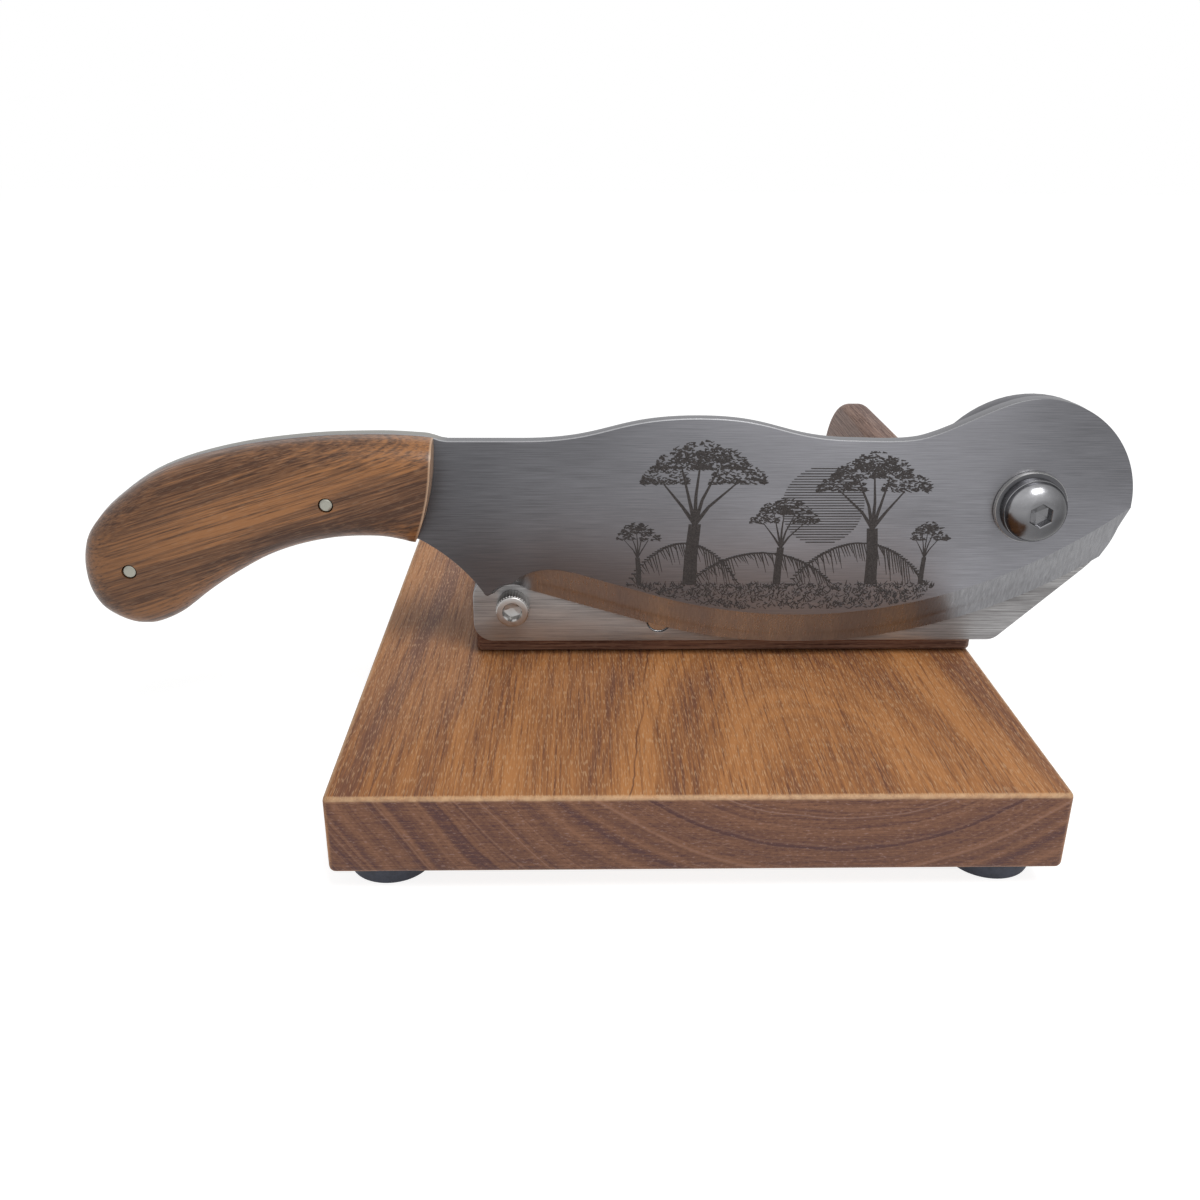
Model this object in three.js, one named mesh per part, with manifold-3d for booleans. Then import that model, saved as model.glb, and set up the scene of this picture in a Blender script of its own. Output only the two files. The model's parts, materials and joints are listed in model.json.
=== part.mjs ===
// Biltong cutter: a hinged blade that shears past a steel plate on a wooden board.
// Millimetres, +Z up. The front faces -Y and the handle points to -X.
// X = 0 is the board's middle, Y = 0 its front edge and Z = 0 the table, until the last lines
// move the origin to the middle of the underside.

import * as THREE from 'three';
import { mergeVertices } from 'three/addons/utils/BufferGeometryUtils.js';
import Module from 'manifold-3d';

const wasm = await Module();
wasm.setup();

// Clearances
const SEAT_GAP = 0.2;          // between pieces that are clamped or glued together
const RUNNING_GAP = 0.3;       // between the blade and the plate that it shears past
const BORE_CLEARANCE = 0.1;    // radial, round the bolt that the blade turns on and round pins
const SCREW_CLEARANCE = 0.2;   // radial, round a screw or insert
const HOLE_RUNOUT = 1;         // depth of a blind hole past the tip of its screw

// Board
const BOARD_WIDTH = 186.5;
const BOARD_DEPTH = 275;
const BOARD_THICKNESS = 22;
const BOARD_CORNER_RADIUS = 1.2; // of its top and bottom faces
const BOARD_EDGE_ROUND = 1.2;

// Feet
const FOOT_HEIGHT = 8;
const FOOT_TOP_RADIUS = 12;
const FOOT_BOTTOM_RADIUS = 11;
const FOOT_EDGE_CHAMFER = 0.8;
const FOOT_INSET_SIDE = 13.2;
const FOOT_INSET_END = 17.5;
const FOOT_WASHER_RADIUS = 4.8;
const FOOT_WASHER_THICKNESS = 1;
const FOOT_SCREW_RADIUS = 1.9;
const FOOT_SCREW_HEAD_RADIUS = 3.7;
const FOOT_SCREW_HEAD_HEIGHT = 2.2;
const FOOT_SCREW_BITE = 12;    // length in the board
const FOOT_SCREW_SHY = 0.8;    // height of its head above the table

// Anvil block
const BLOCK_LENGTH = 155.1;
const BLOCK_DEPTH = 45;
const BLOCK_HEIGHT = 25.8;
const BLOCK_SETBACK = 84;      // from the board's front edge
const BLOCK_CORNER_RADIUS = 1;
const BLOCK_EDGE_ROUND = 1;

// Guide fence
const FENCE_THICKNESS = 11;
const FENCE_HEIGHT = 43.3;
const FENCE_REAR_RADIUS = 40;
const FENCE_REAR_SETBACK = 3;
const FENCE_EDGE_ROUND = 1;

// Wood screws from below, into the block and the fence
const WOOD_SCREW_RADIUS = 2;
const WOOD_SCREW_HEAD_RADIUS = 3.6;
const WOOD_SCREW_TIP = 5;
const WOOD_SCREW_BITE = 15;    // length in the block or the fence
const WOOD_SCREW_SINK = 0.4;   // depth of the head below the board's underside
const BLOCK_SCREW_INSET = 22;  // from each end of the block
const FENCE_SCREW_BEHIND_BLOCK = 25;
const FENCE_SCREW_FROM_REAR = 48;

// Shear plate
const PLATE_THICKNESS = 5;
const PLATE_BAR_HEIGHT = 20.5;
const PLATE_RISE = 0.5;        // of the shear edge above the block
const PLATE_CORNER_RADIUS = 6;
const PLATE_END_SHY = 0.7;     // radius of its round end short of the blade's
const PLATE_END_BACK = 0.5;    // centre of its round end, towards the handle from the pivot
const PLATE_END_RISE = 0.2;    // and above it
const PLATE_THROAT_RADIUS = 14;
const PLATE_TOE_ANGLE = THREE.MathUtils.degToRad(44);
const PLATE_TOE_RADIUS = 5;
const PLATE_SCREW_FROM_END = 56.4;
const PLATE_SCREW_SPACING = 65;
const PLATE_SCREW_BELOW_EDGE = 13.7;
const PLATE_SCREW_RADIUS = 2;
const PLATE_SCREW_HEAD_RADIUS = 3.7;
const PLATE_SCREW_SINK = 0.6;  // depth of the head below the plate's face
const PLATE_SCREW_BITE = 18;   // length in the block
const PLATE_SCREW_TIP = 4;

// Stop screw, an M6 socket cap screw, and its threaded insert
const STOP_FROM_END = 12.1;
const STOP_BELOW_EDGE = 8.3;
const STOP_RADIUS = 3;
const STOP_HEAD_RADIUS = 5;
const STOP_HEAD_HEIGHT = 6;
const STOP_KNURLS = 36;
const STOP_KNURL_DEPTH = 0.25;
const STOP_SOCKET_WIDTH = 5;
const STOP_SOCKET_DEPTH = 3;
const STOP_BITE = 16;          // length in the block
const INSERT_RADIUS = 4.6;
const INSERT_LENGTH = 13;

// Pivot, an M10 socket bolt with a domed head, washers and a lock nut
const PIVOT_OVERHANG = 7.6;    // past the board's right side
const PIVOT_ABOVE_EDGE = 24.3; // above the shear edge
const PIVOT_RADIUS = 5;
const PIVOT_HEAD_RADIUS = 9.2;
const PIVOT_HEAD_HEIGHT = 8;
const PIVOT_HEAD_RIM = 3.2;    // straight part of the head's side
const PIVOT_SOCKET_WIDTH = 6;
const PIVOT_SOCKET_DEPTH = 3.2;
const PIVOT_WASHER_RADIUS = 10.5;
const PIVOT_WASHER_THICKNESS = 2;
const PIVOT_TIP = 2;           // bolt showing past the nut
const PIVOT_TIP_CHAMFER = 0.8;
const NUT_WIDTH = 17;
const NUT_HEX_HEIGHT = 7;
const NUT_COLLAR_RADIUS = 7.6;
const NUT_COLLAR_HEIGHT = 3;
const NUT_COLLAR_WALL = 0.8;

// Blade, with heights measured from the pivot
const BLADE_THICKNESS = 4;
const BLADE_END_RADIUS = 31.4;
const END_CENTRE_BACK = 1.2;   // centre of its round end, towards the handle from the pivot
const SPINE_HEIGHT = 19.1;
const SPINE_FLAT = 24;         // straight stretch beside the handle
const CREST_FROM_PIVOT = 96.8;
const CREST_HEIGHT = 25.65;
const VALLEY_FROM_PIVOT = 50;
const VALLEY_FLAT = 12;
const VALLEY_HEIGHT = 19.3;
const SHOULDER_ANGLE = THREE.MathUtils.degToRad(90);
const SHOULDER_EASE = 11.2;
const EDGE_LOW_FROM_PIVOT = 65;
const EDGE_BELOW_SHEAR = 20.4; // depth that the closed edge reaches below the shear edge
const EDGE_START_ANGLE = THREE.MathUtils.degToRad(-33); // where the edge leaves the round end
const BEVEL_WIDTH = 10.1;
const BEVEL_END_SHARE = 0.3;   // part of the straight edge beside the notch where the bevel rounds off
const BEVEL_END_ANGLE = THREE.MathUtils.degToRad(92);
const NOTCH_CLEARANCE = 1.8;   // round the stop screw's head, at the blade's back
const NOTCH_FLARE = 1.4;       // growth of the notch's radius towards the front
const NOTCH_START_ANGLE = THREE.MathUtils.degToRad(50);
const NOTCH_END_ANGLE = THREE.MathUtils.degToRad(143);
const HEEL_TIP = new THREE.Vector2(-8.7, 5.9);      // from the stop screw
const HEEL_TIP_PULL = new THREE.Vector2(-7.6, 3.6);
const HEEL_PULL = new THREE.Vector2(-15.4, 15.9);

// Handle, as distances from the bolster towards the butt and heights from the pivot
const BOLSTER_PAST_STOP = 20.3;
const BOLSTER_SHY = 0.6;       // of the bolster's foremost point
const BOLSTER_RADIUS = 70;
const BOLSTER_CREST = 19;      // height of the bolster's foremost point
const TANG_STEP = new THREE.Vector2(2.5, 20.55);    // where the tang has risen from the spine
const TANG_EASE = 3;           // length of the rise before the bolster
const HANDLE_OUTLINE = [
  [15, 21.25], [37, 20.45], [60.6, 16.85], [81.2, 9.55], [98.2, -4.2], [102.4, -17.6], [99, -29.2],
  [88, -35], [77, -32.1], [64.8, -23.2], [48.2, -13.6], [32.3, -9], [17, -8.2], [6, -10.4],
];
const SCALE_THICKNESS = 10;
const SCALE_ROUND = 8;         // rounding of the handle's long edges
const PIN_RADIUS = 2;
const PIN_NEAR = new THREE.Vector2(30.2, 3.4);
const PIN_FAR = new THREE.Vector2(87.3, -16.3);

// Facets
const FINE_SEGMENTS = 40;
const COARSE_SEGMENTS = 16;
const CURVE_STEPS = 8;
const EDGE_STEPS = 14;
const ROUND_STEPS = 3;

// Places shared between pieces
const boardBottom = FOOT_HEIGHT + SEAT_GAP;
const boardTop = boardBottom + BOARD_THICKNESS;
const boardRight = BOARD_WIDTH / 2;
const blockLeft = boardRight - BLOCK_LENGTH;
const blockBottom = boardTop + SEAT_GAP;
const blockTop = blockBottom + BLOCK_HEIGHT;
const blockFront = BLOCK_SETBACK;
const blockBack = blockFront + BLOCK_DEPTH;
const plateBack = blockFront - SEAT_GAP;
const plateFront = plateBack - PLATE_THICKNESS;
const shearEdge = blockTop + PLATE_RISE;
const pivotX = boardRight + PIVOT_OVERHANG;
const pivotZ = shearEdge + PIVOT_ABOVE_EDGE;
const plateEndRadius = BLADE_END_RADIUS - PLATE_END_SHY;
const stopX = blockLeft + STOP_FROM_END;
const stopZ = shearEdge - STOP_BELOW_EDGE;
const plateScrewZ = shearEdge - PLATE_SCREW_BELOW_EDGE;
const plateScrewLength = PLATE_THICKNESS - PLATE_SCREW_SINK + SEAT_GAP + PLATE_SCREW_BITE;
const plateScrewXs = [0, 1].map((i) => blockLeft + PLATE_SCREW_FROM_END + i * PLATE_SCREW_SPACING);
const bladeBack = plateFront - RUNNING_GAP;
const bladeFront = bladeBack - BLADE_THICKNESS;
const bolsterX = stopX - BOLSTER_PAST_STOP - pivotX;
const woodScrewLength = BOARD_THICKNESS + SEAT_GAP + WOOD_SCREW_BITE - WOOD_SCREW_SINK;
const blockScrewY = (blockFront + blockBack) / 2;
const blockScrewXs = [blockLeft + BLOCK_SCREW_INSET, boardRight - BLOCK_SCREW_INSET];
const fenceMiddle = boardRight - FENCE_THICKNESS / 2;
const fenceBack = BOARD_DEPTH - FENCE_REAR_SETBACK;
const fenceScrewYs = [blockBack + FENCE_SCREW_BEHIND_BLOCK, fenceBack - FENCE_SCREW_FROM_REAR];
const footX = boardRight - FOOT_INSET_SIDE;
const footPlaces = [
  ['front_left', -footX, FOOT_INSET_END],
  ['front_right', footX, FOOT_INSET_END],
  ['rear_left', -footX, BOARD_DEPTH - FOOT_INSET_END],
  ['rear_right', footX, BOARD_DEPTH - FOOT_INSET_END],
];

// Solid helpers
function toSolid(geometry) {
  const bare = geometry.clone();
  bare.deleteAttribute('normal');
  bare.deleteAttribute('uv');
  const merged = mergeVertices(bare);
  const corners = merged.index.array;
  const faces = [];
  for (let i = 0; i < corners.length; i += 3) {
    const [a, b, c] = corners.slice(i, i + 3);
    if (a !== b && b !== c && c !== a) faces.push(a, b, c);
  }
  const vertProperties = merged.getAttribute('position').array;
  return new wasm.Manifold(new wasm.Mesh({ numProp: 3, vertProperties, triVerts: new Uint32Array(faces) }));
}

function toGeometry(solid) {
  const mesh = solid.getMesh();
  const geometry = new THREE.BufferGeometry();
  geometry.setAttribute('position', new THREE.BufferAttribute(mesh.vertProperties, 3));
  geometry.setIndex(new THREE.BufferAttribute(mesh.triVerts, 1));
  return geometry;
}

function cut(geometry, tools) {
  return toGeometry(tools.reduce((solid, tool) => solid.subtract(toSolid(tool)), toSolid(geometry)));
}

function join(first, second) {
  return toGeometry(toSolid(first).add(toSolid(second)));
}

function common(first, second) {
  return toGeometry(toSolid(first).intersect(toSolid(second)));
}

// Drawn in X and Z, growing from Y = 0 towards the front
function frontPiece(shape, thickness) {
  const options = { depth: thickness, bevelEnabled: false, curveSegments: CURVE_STEPS };
  return new THREE.ExtrudeGeometry(shape, options).rotateX(Math.PI / 2);
}

// Drawn as [radius, height] pairs and turned about the vertical
function turnedUpright(profile, segments) {
  return turnedAlongY(profile, segments).rotateX(Math.PI / 2);
}

// Drawn as [radius, distance to the back] pairs and turned about a line from front to back
function turnedAlongY(profile, segments) {
  const points = profile.map(([radius, along]) => new THREE.Vector2(radius, along));
  return new THREE.LatheGeometry(points, segments);
}

function rodProfile(radius, from, to) {
  return [[0, from], [radius, from], [radius, to], [0, to]];
}

function ringProfile(inner, outer, from, to) {
  return [[inner, from], [outer, from], [outer, to], [inner, to], [inner, from]];
}

function hexPrism(width, length) {
  const radius = width / Math.sqrt(3);
  return new THREE.CylinderGeometry(radius, radius, length, 6);
}

// A slab whose flat faces have round corners, with every edge rounded outside them
function roundedBox(width, depth, height, cornerRadius, edgeRound) {
  const x = width / 2 - edgeRound;
  const y = depth / 2 - edgeRound;
  const r = cornerRadius;
  const shape = new THREE.Shape();
  shape.moveTo(-x + r, -y);
  shape.absarc(x - r, -y + r, r, -Math.PI / 2, 0);
  shape.absarc(x - r, y - r, r, 0, Math.PI / 2);
  shape.absarc(-x + r, y - r, r, Math.PI / 2, Math.PI);
  shape.absarc(-x + r, -y + r, r, Math.PI, 1.5 * Math.PI);
  const geometry = new THREE.ExtrudeGeometry(shape, {
    depth: height - 2 * edgeRound,
    curveSegments: ROUND_STEPS,
    bevelSegments: ROUND_STEPS,
    bevelSize: edgeRound,
    bevelThickness: edgeRound,
  });
  return geometry.translate(0, 0, edgeRound);
}

// Where two circles cross, on the left of the line from the first centre to the second
function circlesMeet(centreA, radiusA, centreB, radiusB) {
  const between = centreB.clone().sub(centreA);
  const distance = between.length();
  const along = (radiusA ** 2 - radiusB ** 2 + distance ** 2) / (2 * distance);
  const aside = Math.sqrt(radiusA ** 2 - along ** 2);
  const direction = between.divideScalar(distance);
  const left = new THREE.Vector2(-direction.y, direction.x);
  return centreA.clone().addScaledVector(direction, along).addScaledVector(left, aside);
}

function angleOf(point, centre) {
  return Math.atan2(point.y - centre.y, point.x - centre.x);
}

function onCircle(centre, radius, angle) {
  return new THREE.Vector2(centre.x + radius * Math.cos(angle), centre.y + radius * Math.sin(angle));
}

// Centre of the arc that is level at its low point and passes through another point
function centreAbove(low, through) {
  const rise = through.y - low.y;
  const radius = ((through.x - low.x) ** 2 + rise ** 2) / (2 * rise);
  return new THREE.Vector2(low.x, low.y + radius);
}

function arcPoints(centre, radius, from, to, steps) {
  return Array.from({ length: steps + 1 }, (_, i) => (
    onCircle(centre, radius, THREE.MathUtils.lerp(from, to, i / steps))
  ));
}

function curvePoints(curve) {
  return curve.getPoints(CURVE_STEPS);
}

// Joins an outline on the front face to one with as many points on the back face
function loft(frontOutline, backOutline, thickness) {
  const count = frontOutline.length;
  const positions = [];
  frontOutline.forEach((point) => positions.push(point.x, -thickness, point.y));
  backOutline.forEach((point) => positions.push(point.x, 0, point.y));
  const index = [];
  for (let i = 0; i < count; i += 1) {
    const next = (i + 1) % count;
    index.push(i, count + i, next, next, count + i, count + next);
  }
  THREE.ShapeUtils.triangulateShape(frontOutline, []).forEach((face) => index.push(...face));
  THREE.ShapeUtils.triangulateShape(backOutline, []).forEach(([a, b, c]) => {
    index.push(count + a, count + c, count + b);
  });
  const geometry = new THREE.BufferGeometry();
  geometry.setAttribute('position', new THREE.Float32BufferAttribute(positions, 3));
  geometry.setIndex(index);
  return geometry;
}

// Materials
const finish = (color, roughness, metalness) => () => (
  new THREE.MeshStandardMaterial({ color, roughness, metalness })
);
const boardWood = finish(0x8a5c38, 0.6, 0);
const blockWood = finish(0x6b4429, 0.6, 0);
const handleWood = finish(0xa8693a, 0.45, 0);
const brushedSteel = finish(0x9a9a98, 0.35, 1);
const polishedSteel = finish(0xc4c4c4, 0.2, 1);
const zincSteel = finish(0xa5a7a8, 0.4, 1);
const brass = finish(0xb08d4a, 0.35, 1);
const rubber = finish(0x1d2026, 0.85, 0);
const nylon = finish(0x3d62a8, 0.5, 0);

function piece(name, geometry, material, x = 0, y = 0, z = 0) {
  const mesh = new THREE.Mesh(geometry, material());
  mesh.name = name;
  mesh.position.set(x, y, z);
  return mesh;
}

// Countersunk wood screw along Y, its head's flat face at 0 and its tip at the back
function countersunkProfile(headRadius, radius, length, tip) {
  return [
    [0, 0], [headRadius, 0], [radius, headRadius - radius], [radius, length - tip], [0, length],
  ];
}

// The hole for it, wider all round, open past the head's face and past its tip
function countersunkHole(headRadius, radius, length, sink, segments) {
  const head = headRadius + SCREW_CLEARANCE;
  const shank = radius + SCREW_CLEARANCE;
  const mouth = head + sink;
  return turnedAlongY([
    [0, -sink - HOLE_RUNOUT], [mouth, -sink - HOLE_RUNOUT], [mouth, -sink],
    [head, 0], [shank, headRadius - radius], [shank, length + HOLE_RUNOUT],
    [0, length + HOLE_RUNOUT],
  ], segments);
}

function woodScrewHole(x, y) {
  const hole = countersunkHole(
    WOOD_SCREW_HEAD_RADIUS, WOOD_SCREW_RADIUS, woodScrewLength, WOOD_SCREW_SINK, COARSE_SEGMENTS,
  );
  return hole.rotateX(Math.PI / 2).translate(x, y, boardBottom + WOOD_SCREW_SINK);
}

function woodScrew(name, x, y) {
  const profile = countersunkProfile(
    WOOD_SCREW_HEAD_RADIUS, WOOD_SCREW_RADIUS, woodScrewLength, WOOD_SCREW_TIP,
  );
  const geometry = turnedUpright(profile, COARSE_SEGMENTS);
  return piece(name, geometry, zincSteel, x, y, boardBottom + WOOD_SCREW_SINK);
}

function plateScrewHole(x) {
  const hole = countersunkHole(
    PLATE_SCREW_HEAD_RADIUS, PLATE_SCREW_RADIUS, plateScrewLength, PLATE_SCREW_SINK, COARSE_SEGMENTS,
  );
  return hole.translate(x, plateFront + PLATE_SCREW_SINK, plateScrewZ);
}

function plateScrew(name, x) {
  const profile = countersunkProfile(
    PLATE_SCREW_HEAD_RADIUS, PLATE_SCREW_RADIUS, plateScrewLength, PLATE_SCREW_TIP,
  );
  const geometry = turnedAlongY(profile, COARSE_SEGMENTS);
  return piece(name, geometry, zincSteel, x, plateFront + PLATE_SCREW_SINK, plateScrewZ);
}

function stopHole(radius, from, to) {
  return turnedAlongY(rodProfile(radius + SCREW_CLEARANCE, from, to), COARSE_SEGMENTS)
    .translate(stopX, 0, stopZ);
}

// Board
function baseBoard() {
  const slab = roundedBox(BOARD_WIDTH, BOARD_DEPTH, BOARD_THICKNESS, BOARD_CORNER_RADIUS, BOARD_EDGE_ROUND)
    .translate(0, BOARD_DEPTH / 2, boardBottom);
  const pilot = rodProfile(
    FOOT_SCREW_RADIUS + SCREW_CLEARANCE, -HOLE_RUNOUT, FOOT_SCREW_BITE + HOLE_RUNOUT,
  );
  const footHoles = footPlaces.map(([, x, y]) => (
    turnedUpright(pilot, COARSE_SEGMENTS).translate(x, y, boardBottom)
  ));
  const blockHoles = blockScrewXs.map((x) => woodScrewHole(x, blockScrewY));
  const fenceHoles = fenceScrewYs.map((y) => woodScrewHole(fenceMiddle, y));
  return piece('base_board', cut(slab, [...footHoles, ...blockHoles, ...fenceHoles]), boardWood);
}

// One rubber foot with the washer and screw in its recess
function footSet([place, x, y]) {
  const bore = FOOT_SCREW_RADIUS + SCREW_CLEARANCE;
  const recess = FOOT_WASHER_RADIUS + SCREW_CLEARANCE;
  const headTop = FOOT_SCREW_SHY + FOOT_SCREW_HEAD_HEIGHT;
  const washerBottom = headTop + SEAT_GAP;
  const washerTop = washerBottom + FOOT_WASHER_THICKNESS;
  const recessTop = washerTop + SEAT_GAP;
  const foot = turnedUpright([
    [recess, 0], [FOOT_BOTTOM_RADIUS - FOOT_EDGE_CHAMFER, 0], [FOOT_BOTTOM_RADIUS, FOOT_EDGE_CHAMFER],
    [FOOT_TOP_RADIUS, FOOT_HEIGHT], [bore, FOOT_HEIGHT], [bore, recessTop], [recess, recessTop],
    [recess, 0],
  ], 2 * COARSE_SEGMENTS);
  const washer = turnedUpright(
    ringProfile(bore, FOOT_WASHER_RADIUS, washerBottom, washerTop), COARSE_SEGMENTS,
  );
  const crown = FOOT_SCREW_HEAD_HEIGHT / 2;
  const screw = turnedUpright([
    [0, FOOT_SCREW_SHY], [FOOT_SCREW_HEAD_RADIUS - crown, FOOT_SCREW_SHY],
    [FOOT_SCREW_HEAD_RADIUS, FOOT_SCREW_SHY + crown], [FOOT_SCREW_HEAD_RADIUS, headTop],
    [FOOT_SCREW_RADIUS, headTop], [FOOT_SCREW_RADIUS, boardBottom + FOOT_SCREW_BITE - FOOT_SCREW_RADIUS],
    [0, boardBottom + FOOT_SCREW_BITE],
  ], COARSE_SEGMENTS);
  return [
    piece(`foot_${place}`, foot, rubber, x, y),
    piece(`foot_washer_${place}`, washer, zincSteel, x, y),
    piece(`foot_screw_${place}`, screw, zincSteel, x, y),
  ];
}

// Block, drilled for its own screws, the plate's screws and the insert
function anvilBlock() {
  const middle = (blockLeft + boardRight) / 2;
  const block = roundedBox(BLOCK_LENGTH, BLOCK_DEPTH, BLOCK_HEIGHT, BLOCK_CORNER_RADIUS, BLOCK_EDGE_ROUND)
    .translate(middle, blockScrewY, blockBottom);
  return piece('anvil_block', cut(block, [
    ...blockScrewXs.map((x) => woodScrewHole(x, blockScrewY)),
    ...plateScrewXs.map((x) => plateScrewHole(x)),
    stopHole(INSERT_RADIUS, plateBack, blockFront + INSERT_LENGTH + SEAT_GAP),
    stopHole(STOP_RADIUS, blockFront, blockFront + STOP_BITE + HOLE_RUNOUT),
  ]), blockWood);
}

// Fence, drawn from the side: it stands on the board and laps over the block
function guideFence() {
  const top = blockBottom + FENCE_HEIGHT;
  const inset = FENCE_EDGE_ROUND;
  const radius = FENCE_REAR_RADIUS - inset;
  const outline = new THREE.Shape();
  outline.moveTo(blockFront + inset, blockTop + SEAT_GAP + inset);
  outline.lineTo(blockBack + SEAT_GAP + inset, blockTop + SEAT_GAP + inset);
  outline.lineTo(blockBack + SEAT_GAP + inset, blockBottom + inset);
  outline.lineTo(fenceBack - inset, blockBottom + inset);
  outline.absarc(fenceBack - FENCE_REAR_RADIUS, top - FENCE_REAR_RADIUS, radius, 0, Math.PI / 2);
  outline.lineTo(blockFront + inset, top - inset);
  const rail = new THREE.ExtrudeGeometry(outline, {
    depth: FENCE_THICKNESS - 2 * inset,
    curveSegments: CURVE_STEPS,
    bevelSegments: 1,
    bevelSize: inset,
    bevelThickness: inset,
  });
  rail.rotateX(Math.PI / 2).rotateZ(Math.PI / 2).translate(boardRight - FENCE_THICKNESS + inset, 0, 0);
  return piece('guide_fence', cut(rail, fenceScrewYs.map((y) => woodScrewHole(fenceMiddle, y))), blockWood);
}

// Shear plate: a bar that rises to a round end about the pivot, with a slanted toe
function plateOutline() {
  const r = PLATE_CORNER_RADIUS;
  const bottom = shearEdge - PLATE_BAR_HEIGHT;
  const end = new THREE.Vector2(pivotX - PLATE_END_BACK, pivotZ + PLATE_END_RISE);
  const throatZ = shearEdge + PLATE_THROAT_RADIUS;
  const reach = plateEndRadius + PLATE_THROAT_RADIUS;
  const throat = new THREE.Vector2(end.x - Math.sqrt(reach ** 2 - (end.y - throatZ) ** 2), throatZ);
  const throatAngle = angleOf(end, throat);
  const toeNormal = PLATE_TOE_ANGLE - Math.PI / 2;
  const toeTop = end.y + plateEndRadius * Math.sin(toeNormal);
  const toeCorner = end.x + plateEndRadius * Math.cos(toeNormal)
    - (toeTop - bottom) / Math.tan(PLATE_TOE_ANGLE);
  const toe = toeCorner - PLATE_TOE_RADIUS * Math.tan(PLATE_TOE_ANGLE / 2);
  const outline = new THREE.Shape();
  outline.moveTo(blockLeft + r, bottom);
  outline.absarc(toe, bottom + PLATE_TOE_RADIUS, PLATE_TOE_RADIUS, -Math.PI / 2, toeNormal);
  outline.absarc(end.x, end.y, plateEndRadius, toeNormal, throatAngle + Math.PI);
  outline.absarc(throat.x, throat.y, PLATE_THROAT_RADIUS, throatAngle, -Math.PI / 2, true);
  outline.absarc(blockLeft + r, shearEdge - r, r, Math.PI / 2, Math.PI);
  outline.absarc(blockLeft + r, bottom + r, r, Math.PI, 1.5 * Math.PI);
  return outline;
}

function shearPlate() {
  const plate = frontPiece(plateOutline(), PLATE_THICKNESS).translate(0, plateBack, 0);
  const bore = rodProfile(PIVOT_RADIUS + BORE_CLEARANCE, plateFront - HOLE_RUNOUT, plateBack + HOLE_RUNOUT);
  const pivotHole = turnedAlongY(bore, FINE_SEGMENTS).translate(pivotX, 0, pivotZ);
  return piece('shear_plate', cut(plate, [
    pivotHole,
    stopHole(STOP_RADIUS, plateFront - HOLE_RUNOUT, plateBack + HOLE_RUNOUT),
    ...plateScrewXs.map((x) => plateScrewHole(x)),
  ]), brushedSteel);
}

// Stop screw with a knurled head, drawn from its head's underside
function stopScrew() {
  const points = Array.from({ length: 2 * STOP_KNURLS }, (_, i) => {
    const radius = STOP_HEAD_RADIUS - (i % 2) * STOP_KNURL_DEPTH;
    const angle = (i * Math.PI) / STOP_KNURLS;
    return new THREE.Vector2(radius * Math.cos(angle), radius * Math.sin(angle));
  });
  const head = frontPiece(new THREE.Shape(points), STOP_HEAD_HEIGHT);
  const seat = plateFront - SEAT_GAP;
  const shank = turnedAlongY(
    rodProfile(STOP_RADIUS, -STOP_SOCKET_DEPTH / 2, blockFront + STOP_BITE - seat), COARSE_SEGMENTS,
  );
  const socket = hexPrism(STOP_SOCKET_WIDTH, 2 * STOP_SOCKET_DEPTH).translate(0, -STOP_HEAD_HEIGHT, 0);
  const screw = cut(join(head, shank), [socket]);
  return piece('stop_screw', screw, polishedSteel, stopX, seat, stopZ);
}

function stopScrewInsert() {
  const ring = ringProfile(STOP_RADIUS + SCREW_CLEARANCE, INSERT_RADIUS, 0, INSERT_LENGTH);
  return piece('stop_screw_insert', turnedAlongY(ring, COARSE_SEGMENTS), brass, stopX, blockFront, stopZ);
}

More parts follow.
